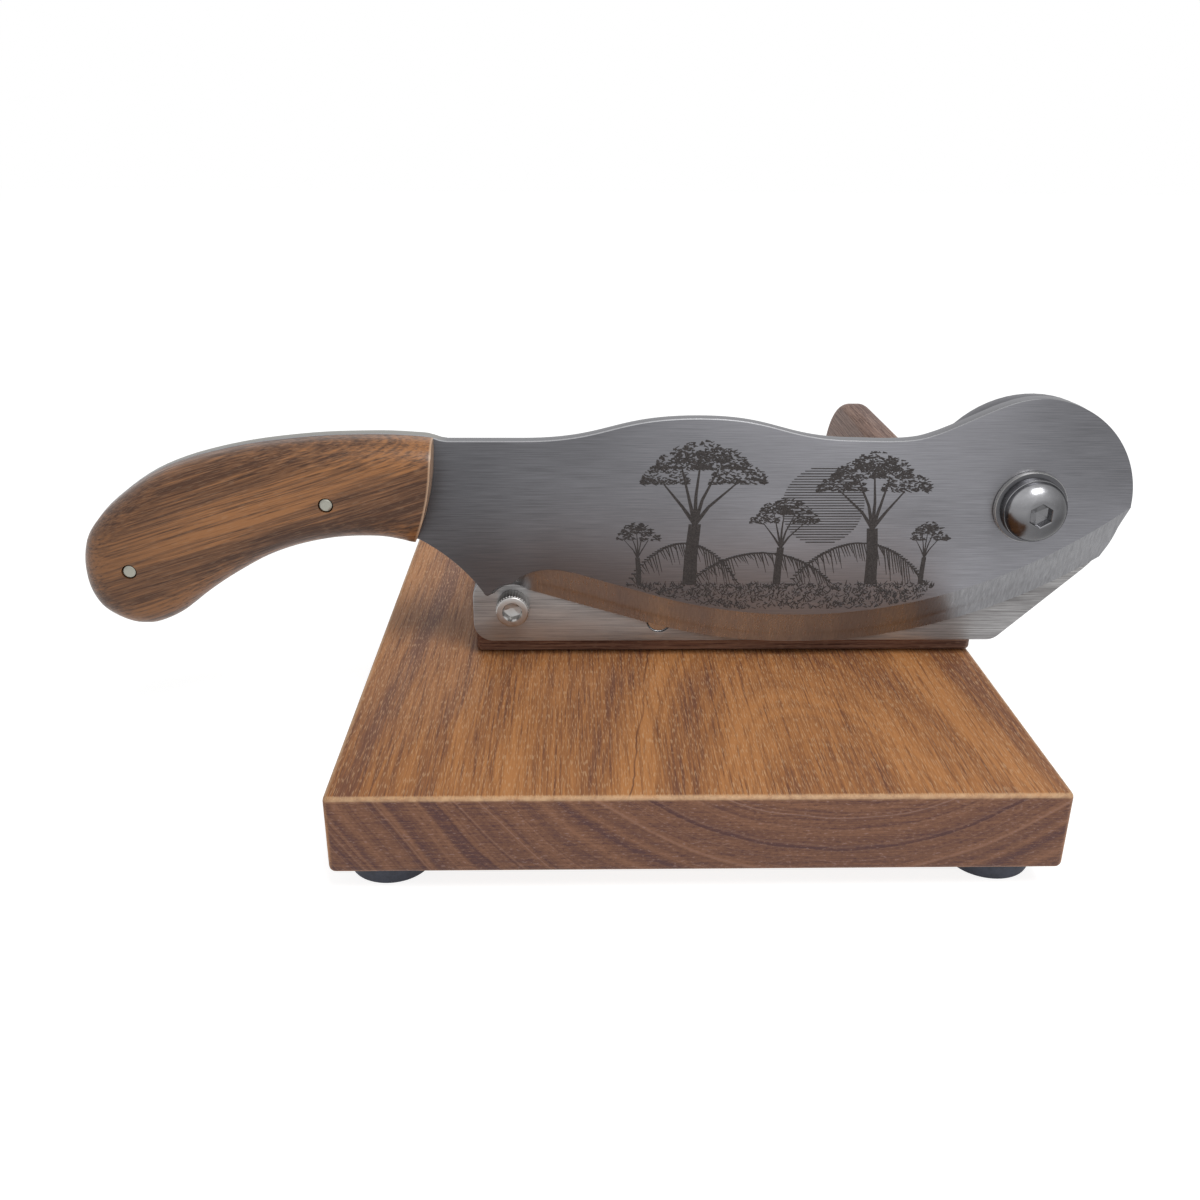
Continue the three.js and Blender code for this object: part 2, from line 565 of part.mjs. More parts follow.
// Pivot: bolt from the front through washer, blade and plate into a washer and lock nut behind
function pivotSet() {
  const bore = PIVOT_RADIUS + BORE_CLEARANCE;
  const frontWasherBack = bladeFront - SEAT_GAP;
  const frontWasherFront = frontWasherBack - PIVOT_WASHER_THICKNESS;
  const headSeat = frontWasherFront - SEAT_GAP;
  const rearWasherFront = plateBack + SEAT_GAP;
  const rearWasherBack = rearWasherFront + PIVOT_WASHER_THICKNESS;
  const nutFront = rearWasherBack + SEAT_GAP;
  const collarFront = nutFront + NUT_HEX_HEIGHT;
  const nutBack = collarFront + NUT_COLLAR_HEIGHT;
  const boltEnd = nutBack + PIVOT_TIP - headSeat;

  const dome = curvePoints(new THREE.EllipseCurve(
    0, -PIVOT_HEAD_RIM, PIVOT_HEAD_RADIUS, PIVOT_HEAD_HEIGHT - PIVOT_HEAD_RIM, -Math.PI / 2, 0,
  )).map((point) => [point.x, point.y]);
  const boltBody = turnedAlongY([
    ...dome, [PIVOT_HEAD_RADIUS, 0], [PIVOT_RADIUS, 0], [PIVOT_RADIUS, boltEnd - PIVOT_TIP_CHAMFER],
    [PIVOT_RADIUS - PIVOT_TIP_CHAMFER, boltEnd], [0, boltEnd],
  ], FINE_SEGMENTS);
  const socket = hexPrism(PIVOT_SOCKET_WIDTH, 2 * PIVOT_SOCKET_DEPTH).translate(0, -PIVOT_HEAD_HEIGHT, 0);

  const washer = (name, from, to) => {
    const geometry = turnedAlongY(ringProfile(bore, PIVOT_WASHER_RADIUS, from, to), FINE_SEGMENTS);
    return piece(name, geometry, polishedSteel, pivotX, 0, pivotZ);
  };

  const hex = hexPrism(NUT_WIDTH, NUT_HEX_HEIGHT).translate(0, nutFront + NUT_HEX_HEIGHT / 2, 0);
  const collar = turnedAlongY(
    rodProfile(NUT_COLLAR_RADIUS, collarFront - NUT_HEX_HEIGHT / 2, nutBack), FINE_SEGMENTS,
  );
  const pocketRadius = NUT_COLLAR_RADIUS - NUT_COLLAR_WALL;
  const pocket = turnedAlongY(rodProfile(pocketRadius, collarFront, nutBack + HOLE_RUNOUT), FINE_SEGMENTS);
  const thread = turnedAlongY(rodProfile(bore, nutFront - HOLE_RUNOUT, nutBack), FINE_SEGMENTS);
  const ring = ringProfile(
    bore, pocketRadius - SEAT_GAP, collarFront + SEAT_GAP, nutBack - SEAT_GAP,
  );
  return [
    piece('pivot_bolt', cut(boltBody, [socket]), polishedSteel, pivotX, headSeat, pivotZ),
    washer('pivot_washer_front', frontWasherFront, frontWasherBack),
    washer('pivot_washer_rear', rearWasherFront, rearWasherBack),
    piece('pivot_lock_nut', cut(join(hex, collar), [pocket, thread]), zincSteel, pivotX, 0, pivotZ),
    piece('lock_nut_ring', turnedAlongY(ring, FINE_SEGMENTS), nylon, pivotX, 0, pivotZ),
  ];
}

// Handle outline from the tang's step over the butt and back to the blade's heel
function handleCurve() {
  const points = [[TANG_STEP.x, TANG_STEP.y], ...HANDLE_OUTLINE];
  return new THREE.SplineCurve(points.map(([back, height]) => new THREE.Vector2(bolsterX - back, height)));
}

// Spine from the handle: straight, up to the crest, down to the valley, up to the round end
function spinePoints(shoulder) {
  const flatEnd = new THREE.Vector2(bolsterX + SPINE_FLAT, SPINE_HEIGHT);
  const crest = new THREE.Vector2(-CREST_FROM_PIVOT, CREST_HEIGHT);
  const valley = new THREE.Vector2(-VALLEY_FROM_PIVOT, VALLEY_HEIGHT);
  const valleyEnd = new THREE.Vector2(valley.x + VALLEY_FLAT, VALLEY_HEIGHT);
  const swell = (from, to) => {
    const middle = (from.x + to.x) / 2;
    return curvePoints(new THREE.CubicBezierCurve(
      from, new THREE.Vector2(middle, from.y), new THREE.Vector2(middle, to.y), to,
    ));
  };
  const shoulderPull = new THREE.Vector2(Math.sin(SHOULDER_ANGLE), -Math.cos(SHOULDER_ANGLE));
  const rise = new THREE.CubicBezierCurve(
    valleyEnd,
    new THREE.Vector2(valleyEnd.x + SHOULDER_EASE, valleyEnd.y),
    shoulder.clone().addScaledVector(shoulderPull, -SHOULDER_EASE),
    shoulder,
  );
  return [
    new THREE.Vector2(bolsterX + TANG_EASE, SPINE_HEIGHT),
    ...swell(flatEnd, crest),
    ...swell(crest, valley).slice(1),
    ...curvePoints(rise).slice(0, -1),
  ];
}

// Where the straight edge runs into the notch: the bevel's rounded end, or the edge and the notch
function notchEntry(bevel, from, edgeEnd, inwards, stop, notchRadius) {
  const start = from.clone().add(inwards);
  const bevelEnd = onCircle(stop, notchRadius, BEVEL_END_ANGLE);
  if (bevel > 0) {
    const rounded = new THREE.QuadraticBezierCurve(start, edgeEnd.clone().add(inwards), bevelEnd);
    return rounded.getPoints(2 * CURVE_STEPS);
  }
  return [
    ...curvePoints(new THREE.LineCurve(start, edgeEnd)),
    ...arcPoints(stop, notchRadius, NOTCH_START_ANGLE, BEVEL_END_ANGLE, CURVE_STEPS).slice(1),
  ];
}

// Blade outline with the ground edge drawn in by the bevel's width and the notch grown by its flare
function bladeOutline(bevel, flare) {
  const end = new THREE.Vector2(-END_CENTRE_BACK, 0);
  const stop = new THREE.Vector2(stopX - pivotX, stopZ - pivotZ);
  const notchRadius = STOP_HEAD_RADIUS + NOTCH_CLEARANCE;
  const low = new THREE.Vector2(-EDGE_LOW_FROM_PIVOT, -PIVOT_ABOVE_EDGE - EDGE_BELOW_SHEAR);
  const edgeCentre = centreAbove(low, onCircle(end, BLADE_END_RADIUS, EDGE_START_ANGLE));
  const edgeRadius = edgeCentre.y - low.y;
  const groundRadius = edgeRadius - bevel;
  const edgeStart = circlesMeet(edgeCentre, groundRadius, end, BLADE_END_RADIUS);
  const edgeEnd = onCircle(stop, notchRadius, NOTCH_START_ANGLE);
  const reach = Math.max(edgeEnd.distanceTo(edgeCentre), edgeRadius);
  const straightAngle = angleOf(edgeEnd, edgeCentre) + Math.acos(edgeRadius / reach);
  const straightStart = onCircle(edgeCentre, edgeRadius, straightAngle);
  const inwards = onCircle(new THREE.Vector2(), -bevel, straightAngle);
  const entryStart = edgeEnd.clone().lerp(straightStart, BEVEL_END_SHARE);
  const wall = notchRadius + flare;
  const notch = arcPoints(stop, wall, BEVEL_END_ANGLE, NOTCH_END_ANGLE, CURVE_STEPS);
  const heelTip = stop.clone().add(HEEL_TIP);
  const tip = new THREE.QuadraticBezierCurve(notch.at(-1), stop.clone().add(HEEL_TIP_PULL), heelTip);
  const handle = handleCurve().getPoints(4 * CURVE_STEPS).reverse();
  const heel = new THREE.QuadraticBezierCurve(heelTip, stop.clone().add(HEEL_PULL), handle[0]);
  const edgeAngle = angleOf(edgeStart, edgeCentre);
  return [
    ...spinePoints(onCircle(end, BLADE_END_RADIUS, SHOULDER_ANGLE)),
    ...arcPoints(end, BLADE_END_RADIUS, SHOULDER_ANGLE, angleOf(edgeStart, end), EDGE_STEPS),
    ...arcPoints(edgeCentre, groundRadius, edgeAngle, straightAngle, 2 * EDGE_STEPS).slice(1),
    ...notchEntry(bevel, entryStart, edgeEnd, inwards, stop, wall),
    ...notch.slice(1),
    ...curvePoints(tip).slice(1),
    ...curvePoints(heel).slice(1, -1),
    ...handle,
  ].reverse();
}

function pinPlaces() {
  return [PIN_NEAR, PIN_FAR].map((pin) => new THREE.Vector2(bolsterX - pin.x, pin.y));
}

function pinHoles() {
  const reach = SCALE_THICKNESS + BLADE_THICKNESS;
  return pinPlaces().map((place) => (
    turnedAlongY(rodProfile(PIN_RADIUS + BORE_CLEARANCE, -2 * reach, 2 * reach), COARSE_SEGMENTS)
      .translate(place.x, 0, place.y)
  ));
}

function blade() {
  const ground = loft(bladeOutline(BEVEL_WIDTH, NOTCH_FLARE), bladeOutline(0, 0), BLADE_THICKNESS);
  const pivotHole = turnedAlongY(
    rodProfile(PIVOT_RADIUS + BORE_CLEARANCE, -2 * BLADE_THICKNESS, BLADE_THICKNESS), FINE_SEGMENTS,
  );
  return piece('blade', cut(ground, [pivotHole, ...pinHoles()]), brushedSteel);
}

// Both handle scales, cut from one rounded body: each ends at the bolster's arc
function handleScales() {
  const total = BLADE_THICKNESS + 2 * (SEAT_GAP + SCALE_THICKNESS);
  const points = handleCurve().getPoints(4 * CURVE_STEPS);
  const outline = new THREE.Shape([
    new THREE.Vector2(bolsterX + SCALE_ROUND, SPINE_HEIGHT),
    ...points,
    new THREE.Vector2(bolsterX + SCALE_ROUND, points.at(-1).y),
  ]);
  const body = new THREE.ExtrudeGeometry(outline, {
    depth: total - 2 * SCALE_ROUND,
    bevelSegments: ROUND_STEPS,
    bevelSize: SCALE_ROUND,
    bevelOffset: -SCALE_ROUND,
    bevelThickness: SCALE_ROUND,
  });
  body.translate(0, 0, SCALE_ROUND - SEAT_GAP - SCALE_THICKNESS).rotateX(Math.PI / 2);

  const ends = points.map((point) => point.x);
  const butt = Math.min(...ends) - SCALE_ROUND;
  const heights = points.map((point) => point.y);
  const top = Math.max(...heights) + SCALE_ROUND;
  const bottom = Math.min(...heights) - SCALE_ROUND;
  const centre = new THREE.Vector2(bolsterX - BOLSTER_SHY - BOLSTER_RADIUS, BOLSTER_CREST);
  const arcAngle = (height) => Math.asin((height - BOLSTER_CREST) / BOLSTER_RADIUS);
  const bolster = arcPoints(
    centre, BOLSTER_RADIUS, arcAngle(heights.at(-1) - SCALE_ROUND), arcAngle(top), CURVE_STEPS,
  );
  const behindBolster = new THREE.Shape([
    new THREE.Vector2(butt, top),
    new THREE.Vector2(butt, bottom),
    new THREE.Vector2(bolster[0].x, bottom),
    ...bolster,
  ]);
  const slab = (back) => frontPiece(behindBolster, 2 * SCALE_THICKNESS).translate(0, back, 0);
  const front = common(body, slab(-BLADE_THICKNESS - SEAT_GAP));
  const rear = common(body, slab(SEAT_GAP + 2 * SCALE_THICKNESS));
  return [
    piece('handle_scale_front', cut(front, pinHoles()), handleWood),
    piece('handle_scale_rear', cut(rear, pinHoles()), handleWood),
  ];
}

function handlePins() {
  const front = -BLADE_THICKNESS - SEAT_GAP - SCALE_THICKNESS;
  const back = SEAT_GAP + SCALE_THICKNESS;
  return pinPlaces().map((place, i) => {
    const pin = turnedAlongY(rodProfile(PIN_RADIUS, front, back), COARSE_SEGMENTS);
    return piece(['handle_pin_near', 'handle_pin_far'][i], pin, polishedSteel, place.x, 0, place.y);
  });
}

// Everything that swings, drawn about the pivot with its back face at Y = 0
function swingingBlade() {
  const group = new THREE.Group();
  group.add(blade(), ...handleScales(), ...handlePins());
  group.position.set(pivotX, bladeBack, pivotZ);
  return group;
}

const cutter = new THREE.Group();
cutter.add(
  baseBoard(),
  ...footPlaces.flatMap(footSet),
  anvilBlock(),
  guideFence(),
  woodScrew('block_screw_left', blockScrewXs[0], blockScrewY),
  woodScrew('block_screw_right', blockScrewXs[1], blockScrewY),
  woodScrew('fence_screw_front', fenceMiddle, fenceScrewYs[0]),
  woodScrew('fence_screw_rear', fenceMiddle, fenceScrewYs[1]),
  shearPlate(),
  plateScrew('plate_screw_left', plateScrewXs[0]),
  plateScrew('plate_screw_right', plateScrewXs[1]),
  stopScrew(),
  stopScrewInsert(),
  ...pivotSet(),
  swingingBlade(),
);

const box = new THREE.Box3().setFromObject(cutter);
const middle = box.getCenter(new THREE.Vector3());
cutter.position.set(-middle.x, -middle.y, -box.min.z);

export default cutter;
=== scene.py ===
"""Looks of the biltong cutter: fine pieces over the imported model, their materials, a studio and a camera.

Sizes are millimetres in the model's own frame: X from the handle to the pivot, Y to the back, Z up.
Meshes are scaled to metres when a piece is made. Colours are bytes on the screen. The edges of round
pieces are steps in from the side and along from the face, or one number for both.
"""
import json
import math
import random

import bmesh
import bpy
import numpy as np
from mathutils import Matrix, Vector

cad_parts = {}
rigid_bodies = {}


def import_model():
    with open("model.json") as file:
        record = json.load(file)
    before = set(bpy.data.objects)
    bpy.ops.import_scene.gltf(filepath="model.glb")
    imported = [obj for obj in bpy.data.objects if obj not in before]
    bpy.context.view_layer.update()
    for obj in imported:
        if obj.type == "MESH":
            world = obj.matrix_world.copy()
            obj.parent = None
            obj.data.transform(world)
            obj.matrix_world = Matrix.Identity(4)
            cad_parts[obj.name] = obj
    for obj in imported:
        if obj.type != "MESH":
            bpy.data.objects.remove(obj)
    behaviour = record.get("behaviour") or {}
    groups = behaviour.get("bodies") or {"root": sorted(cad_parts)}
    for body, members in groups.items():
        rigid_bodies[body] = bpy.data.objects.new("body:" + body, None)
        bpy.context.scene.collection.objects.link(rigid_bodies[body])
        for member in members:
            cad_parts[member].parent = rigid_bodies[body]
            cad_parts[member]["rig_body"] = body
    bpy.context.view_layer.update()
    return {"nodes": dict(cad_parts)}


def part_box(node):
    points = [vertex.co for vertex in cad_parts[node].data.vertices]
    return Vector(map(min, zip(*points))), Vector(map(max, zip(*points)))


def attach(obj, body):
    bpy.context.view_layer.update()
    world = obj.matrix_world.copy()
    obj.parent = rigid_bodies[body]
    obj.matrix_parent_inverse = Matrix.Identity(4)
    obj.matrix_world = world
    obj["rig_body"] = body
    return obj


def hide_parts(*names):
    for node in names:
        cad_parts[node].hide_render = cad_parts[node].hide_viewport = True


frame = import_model()

MM = 0.001
X, Y, Z = range(3)

# Nodes that come in groups
PINS = ("handle_pin_near", "handle_pin_far")
PLATE_SCREWS = ("plate_screw_left", "plate_screw_right")
BOARD_SCREWS = ("block_screw_left", "block_screw_right", "fence_screw_front", "fence_screw_rear")
FOOT_CORNERS = ("front_left", "front_right", "rear_left", "rear_right")

# Camera, fitted to the edges of the board
CAMERA_PLACE = (-9.76, -378.23, 183.48)
CAMERA_YAW = math.radians(1.248)
CAMERA_PITCH = math.radians(22.701)
CAMERA_ROLL = math.radians(0.360)
CAMERA_LENS = 34.37
CAMERA_SENSOR = 36.0
CAMERA_NEAREST = 10.0

# Wooden base
BOARD_CORNER_RADIUS = 2.0
BOARD_EDGE_ROUND = 1.5
BLOCK_CORNER_RADIUS = 2.0
BLOCK_EDGE_ROUND = 1.0
FENCE_REAR_RADIUS = 40.0
FENCE_TOP_ROUND = 3.8
FENCE_BOTTOM_ROUND = 0.5
SEAT_GAP = 0.2
HOLE_COVER = 1.0  # wood left over a screw's hole in the board
FOOT_PILOT_DEPTH = 13.0

# Screws
SCREW_SHANK = 2.0
SCREW_CLEARANCE = 0.2
SCREW_GAP = 0.2  # round a countersunk head, and deep
SCREW_TIP = 4.0
POINT = 0.2  # radius of a screw's tip and of a socket's bottom
CROSS_LENGTH = 1.7  # half the length of a driver's cross
CROSS_WIDTH = 0.9
CROSS_DEPTH = 1.5
CROSS_SHARES = ((0.3, 1), (0.75, 0.8), (1, 0))  # of the cross's size and depth, from the bottom up

# Stop screw
STOP_HEAD_HEIGHT = 6.0
STOP_HEAD_EDGE = ((0.6, 0), (0.42, 0.05), (0.3, 0.18), (0.26, 0.6))
STOP_SEAT_EDGE = (0.3, 0.5)
STOP_SHANK = 3.0
STOP_SHANK_CHAMFER = 0.6
STOP_SOCKET_WIDTH = 5.0
STOP_SOCKET_DEPTHS = (3.0, 0.6, 0.5)  # of its sides, of the cone at its bottom and of its chamfer
STOP_SOCKET_MOUTH = 2.95  # radius of the chamfer round the socket
STOP_SOCKET_TURN = math.radians(15)
STOP_KNURLS = 36
STOP_KNURL_DEPTH = 0.25
STOP_KNURL_START = 0.7  # below the head's face
STOP_KNURL_FACETS = 6

# Pivot
PIVOT_SHANK = 5.0
PIVOT_SHANK_CHAMFER = 0.8
PIVOT_BORE = 5.1
PIVOT_HEAD_HEIGHT = 8.0
PIVOT_HEAD_RIM = 3.2  # straight part of the head's side
PIVOT_HEAD_STEP = 0.3  # between the rim and the dome
PIVOT_RIM_EDGE = ((0.1, 0), (0, 0.15))
PIVOT_SEAT_EDGE = 0.2
PIVOT_SOCKET_WIDTH = 6.0
PIVOT_SOCKET_DEPTHS = (3.2, 0.7, 0.2)
PIVOT_SOCKET_MOUTH = 6.3  # width of the chamfer round the socket
PIVOT_SOCKET_RIM = 3.8  # radius of the flat round the socket
WASHER_EDGE = 0.3
NUT_WIDTH = 17.0
NUT_HEX_HEIGHT = 7.0
NUT_BORE_CHAMFER = 0.6
NUT_FACE_INSET = 0.4
NUT_CORNER = (0.1, 0.9)  # where the chamfer on the corners starts and ends, from the face
NUT_COLLAR_RADIUS = 7.6
NUT_COLLAR_WALL = 0.8
NUT_COLLAR_EDGE = (0.3, 0.5)

# Feet
FOOT_RECESS_RADIUS = 5.0
FOOT_RECESS_DEPTH = 4.4
FOOT_RECESS_EDGE = 0.4
FOOT_BORE = 2.1
FOOT_BOTTOM_RADIUS = 11.0
FOOT_BOTTOM_EDGE = ((0.8, 0), (0.25, 0.25), (0, 0.8))
FOOT_TOP_EDGE = ((0, 0.6), (0.2, 0.15), (0.6, 0))
FOOT_WASHER_EDGE = 0.2
FOOT_SCREW_SHANK = 1.9
FOOT_SCREW_TIP = 2.0
FOOT_SCREW_HEAD_HEIGHT = 2.2
FOOT_SCREW_HEAD = ((0.66, 0), (0.85, 0.35), (1, 1.1))  # shares of the radius, and depths

# Blade, plate and handle
STEEL_EDGE_ROUND = 0.3
EDGE_SHARE = 0.3  # of an edge's round, at the middle of its curve
BLADE_BACK_ROUND = 0.15
BLADE_LAND = 0.45  # flat left at the very edge of the ground bevel
BEVEL_NORMAL = (-0.97, -0.2)  # limits of Y for the ground bevel's normals
BEVEL_LEAST = 0.3  # area of its smallest facet
SCALE_WALL = 0.6  # straight side of a handle scale, beside the tang
SCALE_SHY_FRONT = 0.15  # depth of a scale's side below the tang's
SCALE_SHY_REAR = 1.3
SCALE_CROWN = 10.5  # width over which a scale is crowned
SCALE_CROWN_POWER = 2.3
SCALE_REACH = 31.5  # how far an outline runs past the bolster before it is inset
SCALE_EDGE_ROUND = 0.35
SCALE_EDGE_ANGLE = math.radians(50)  # edges sharper than this are rounded
CROWN_START = 0.25  # angle at which the crown leaves the scale's side
PIN_SHARE = 0.88  # of the pin's radius that shows
PIN_GAP = 0.35
PIN_DOME = 0.3
PIN_DOME_SHARES = ((0.5, 0), (0.8, 0.3), (1, 1))  # of the radius and of the dome's depth
CUT_PAST = 1.0  # how far a cutting tool stands out

# Engraving on the blade, with places measured from the pivot
ENGRAVING_SEED = 7
ENGRAVING_RELIEF = (0.02, 0.12)
ENGRAVING_SINK = 0.05
GROUND = -24.5
SUN = ((-60, 0), 12, GROUND + 9)  # centre, radius and horizon
HILLS = ((-116, -84, 13), (-98, -56, 10), (-68, -28, 13))  # left, right and height
TREES = (  # place, height, spread, trunk and lean
    (-98, 42, 19, 3.4, 2), (-44, 39, 17, 3.0, -2), (-72, 26, 11, 1.9, 1),
    (-113, 19, 6.5, 1.3, -1), (-29, 19, 6, 1.2, 0.5),
)
GRASS = (-122, -24, 8)  # left, right and depth
EDGE_MARGIN = 0.8  # bare steel left above the ground bevel
LEAF_DENSITY = 4.5
LEAF_LENGTH = (0.6, 1.5)
LEAF_WIDTH = (0.3, 0.65)
LEAF_TILT = 0.6
LEAF_SINK = 1.4  # power that gathers the leaves at a crown's underside
HATCH_STEP = 0.75
HATCH_WIDTH = 0.42
HATCH_LEAN = 1.6
HATCH_DEPTH = (0.15, 0.4, 0.6)  # least share of the height, most at the left, and what the right adds
HILL_POWER = 0.7
RIDGE_WAVER = 0.15
SUN_LINE_STEP = 0.8
SUN_LINE_WIDTH = 0.28
GRASS_DENSITY = 16.0
GRASS_LENGTH = (0.5, 1.6)
GRASS_WIDTH = 0.34
GRASS_ANGLES = (0.2, 2.9)
GRASS_POWER = 1.3  # power that gathers the grass at the ground line

# An engraved tree, in shares of its lean, height, spread and trunk
TREE_FORK = (0.5, 0.45)  # of the lean and of the height
TREE_BEND = (0.1, 0.22)
TRUNK_STROKES = 4
TRUNK_HALF = 0.4
TRUNK_WIDTHS = (0.42, 0.25)
BRANCH_WIDTHS = (0.4, 0.12)
BRANCH_KNEE = (0.2, 0.02)  # out by the spread, and down by the height
CROWN_COUNT = 5
CROWN_SPREAD = 0.55
CROWN_HEIGHT = 0.8
CROWN_BOW = (0.1, 2.2)  # how far the middle crown stands up, and the angle of the outer ones
CROWN_HALF = (0.34, 0.44)
CROWN_DEPTH = 0.15

# Wood: dark, middle and light tone, that of lines and that of pores and of the painted highlights on edges
BOARD_TONES = ((114, 75, 56), (151, 101, 62), (178, 122, 74), (98, 60, 42), (206, 170, 132))
BLOCK_TONES = ((84, 56, 46), (128, 98, 84), (162, 130, 112), (70, 46, 38), (180, 148, 130))
HANDLE_TONES = ((78, 51, 35), (117, 81, 55), (156, 107, 67), (54, 34, 23), (196, 164, 136))
DARK, LINE, PALE = 0, 3, 4  # places of these in the lists
TONE_PLACES = (0.25, 0.5, 0.75)
FINE_RINGS = 12  # growth rings in one broad band
WOOD_SPECULAR = 0.25
HANDLE_GRAIN = (0, math.radians(17), math.radians(90))
HANDLE_COAT = 0.12  # weight of the oil on the handle
HANDLE_COAT_ROUGHNESS = 0.3
# The handle is painted darker towards its butt, as shade.
BUTT_FADE = 40.0  # length over which the handle darkens towards its butt
BUTT_SHADE = 0.45
BOLSTER_LINE = 0.7  # width of the painted highlight line along a scale's end
BOLSTER_HIGHLIGHT = 0.8
PITH_ASIDE = 34.0  # the board's rings run about a line above it, which climbs towards the back
PITH_ABOVE = 65.0
PITH_CLIMB = 0.12
CRACK_ASIDE = -18.0  # of a fine crack, at the board's front edge
CRACK_DRIFT = 0.12  # to the right, towards the back
CRACK_WAVER = 6.0
CRACK_WIDTH = 0.32
CRACK_CORE = 0.1
CRACK_DEPTH = 4.0

# Steel. A painted shade has its axis, where it starts and is full, and its depth
# Painted light and shade on steel edges: the grey of a flat edge and of the line where it rounds into the
# faces, dark on the spine and a bright highlight on the plate
SPINE_PAINTED_LIGHT = ((128, 128, 131), (92, 92, 96))  # flat edge and its corners
PLATE_PAINTED_LIGHT = ((104, 104, 108), (206, 206, 208))
PAINTED_CORNER_SHARE = 0.6
# The tang's flat edge is painted a lighter grey, as a highlight
TANG_PAINTED_HIGHLIGHT = (150, 149, 145)
TANG_FADE = 4.0
BLADE_SHADES = ((X, 60.0, -50.0, 0.45), (Z, 50.0, 112.0, 0.3), (X, 80.0, 150.0, 0.2))
PLATE_SHADES = ((X, 0.0, 110.0, 0.1),)
GROUND_SHADES = ((X, 40.0, 105.0, 0.46), (X, 0.0, -45.0, 0.15))
DOME_SHADES = ((X, -0.3, 0.5, 0.6), (Z, 0.4, -0.1, 0.6))  # as the surface turns
LENGTHWISE = (0.07, 1.0, 4.5)  # scale of scratches along the blade, and of those across the bevel
CROSSWISE = (1.8, 1.0, 0.08)
BRUSH_TURN = 0.6  # strength of the anisotropic highlight
HAZE_TONE = 0.8  # of the metal's colour, where it is dull

# Shaders
BLACK = (0.0, 0.0, 0.0, 1.0)
WHITE = (1.0, 1.0, 1.0, 1.0)
NOISE_SPAN = (0.3, 0.7)  # values that most noise lies between

# Studio, in metres and watts
WORLD_FILL = 0.36
FLOOR_HALF = 3.0
FLOOR_CELLS = 8
FLOOR_GLOW = 0.86
FLOOR_MATT = 0.4
FLOOR_PLAIN = 0.8
LAMP_TARGET = (0.0, 0.0, 0.04)
KEY_LAMP = ((0.25, -0.66, 0.98), 0.4, 8.2)  # place, side and power
FILL_LAMP = ((0.3, -0.8, 0.7), 0.8, 0.4)

# Facets and tolerances
ROUND_COUNT = 96
CORNER_STEPS = 6
EDGE_STEPS = 4
SMALL_EDGE_STEPS = 2
CROWN_STEPS = 14
OUTLINE_STEPS = 3  # points added to each stretch of an outline taken from the frame
OUTLINE_CORNER = math.radians(28)
LONG_STRAIGHT = 3  # a stretch that is so many times its neighbour's length stays straight
SCALE_OUTLINE_COUNT = 160
BOLSTER_COUNT = 24
SHARP_ANGLE = math.radians(32)
MERGE_DISTANCE = 1e-4
LEVEL_SLACK = 2e-3  # how far a flat face may be from its level
TINY = 1e-6


# Shape helpers
def box(node):
    """Lowest and highest corner of a node."""
    low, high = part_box(node)
    return np.array(low) / MM, np.array(high) / MM


def ends(node, axis):
    """Where a node starts and ends along an axis."""
    low, high = box(node)
    return low[axis], high[axis]


def radius_of(node):
    start, end = ends(node, X)
    return (end - start) / 2


def middle_of(node, axis=Y):
    """A node's middle, in the plane across an axis."""
    low, high = box(node)
    return np.delete((low + high) / 2, axis)


def strip(bm, rings, axis):
    """Joins rings of points, stacked along an axis, with quads. Returns the rows of vertices."""
    stacked = [np.insert(points, axis, level, axis=1) for points, level in rings]
    rows = [[bm.verts.new(place) for place in points] for points in stacked]
    for low, high in zip(rows, rows[1:]):
        for i in range(len(low)):
            j = (i + 1) % len(low)
            bm.faces.new((low[i], low[j], high[j], high[i]))
    return rows


def fill(bm, rows):
    """A flat face inside the first row, with the other rows as holes."""
    if len(rows) == 1:
        bm.faces.new(rows[0])
        return
    edges = [bm.edges.get((row[i - 1], row[i])) for row in rows for i in range(len(row))]
    bmesh.ops.triangle_fill(bm, use_beauty=True, edges=edges)


def solid(rings, axis, holes=(), capped=True):
    """A closed body through a stack of rings. A hole starts at the first ring's level."""
    bm = bmesh.new()
    rows = strip(bm, rings, axis)
    hole_rows = [strip(bm, hole, axis) for hole in holes]
    if capped:
        last = rings[-1][1]
        through = [row[-1] for row, hole in zip(hole_rows, holes) if hole[-1][1] == last]
        blind = [row[-1] for row, hole in zip(hole_rows, holes) if hole[-1][1] != last]
        fill(bm, [rows[0]] + [row[0] for row in hole_rows])
        fill(bm, [rows[-1]] + through)
        for row in blind:
            bm.faces.new(row)
    bmesh.ops.remove_doubles(bm, verts=bm.verts, dist=MERGE_DISTANCE)
    bmesh.ops.recalc_face_normals(bm, faces=bm.faces)
    return bm


def ways(points):
    """Direction and length of the step from each point of a closed outline to the next."""
    step = np.roll(points, -1, axis=0) - points
    length = np.linalg.norm(step, axis=1)
    return step / length[:, None], length


def inset(points, distance):
    """An anticlockwise outline, moved inwards by one distance or by one for each point."""
    way = ways(points)[0]
    both = way + np.roll(way, 1, axis=0)
    total = np.stack([-both[:, 1], both[:, 0]], axis=1)
    mitre = total * (2 / np.maximum((total ** 2).sum(axis=1), 1.0))[:, None]
    return points + mitre * np.broadcast_to(distance, len(points))[:, None]


def mirrored(rings, low, high):
    """Rings or a profile, followed by their mirror image between two levels."""
    return rings + [(shape, low + high - level) for shape, level in reversed(rings)]


def rounded_rings(outline, low, high, radius, steps=EDGE_STEPS):
    """Rings of a slab with rounded edges. The radius may differ from point to point."""
    angles = np.linspace(0, math.pi / 2, steps + 1)
    most = np.max(radius)
    lower = [(inset(outline, radius * (1 - math.sin(a))), low + most * (1 - math.cos(a))) for a in angles]
    return mirrored(lower, low, high)


def arc(centre, radius, start, end, steps):
    angles = np.linspace(start, end, steps + 1)
    return centre + radius * np.stack([np.cos(angles), np.sin(angles)], axis=1)


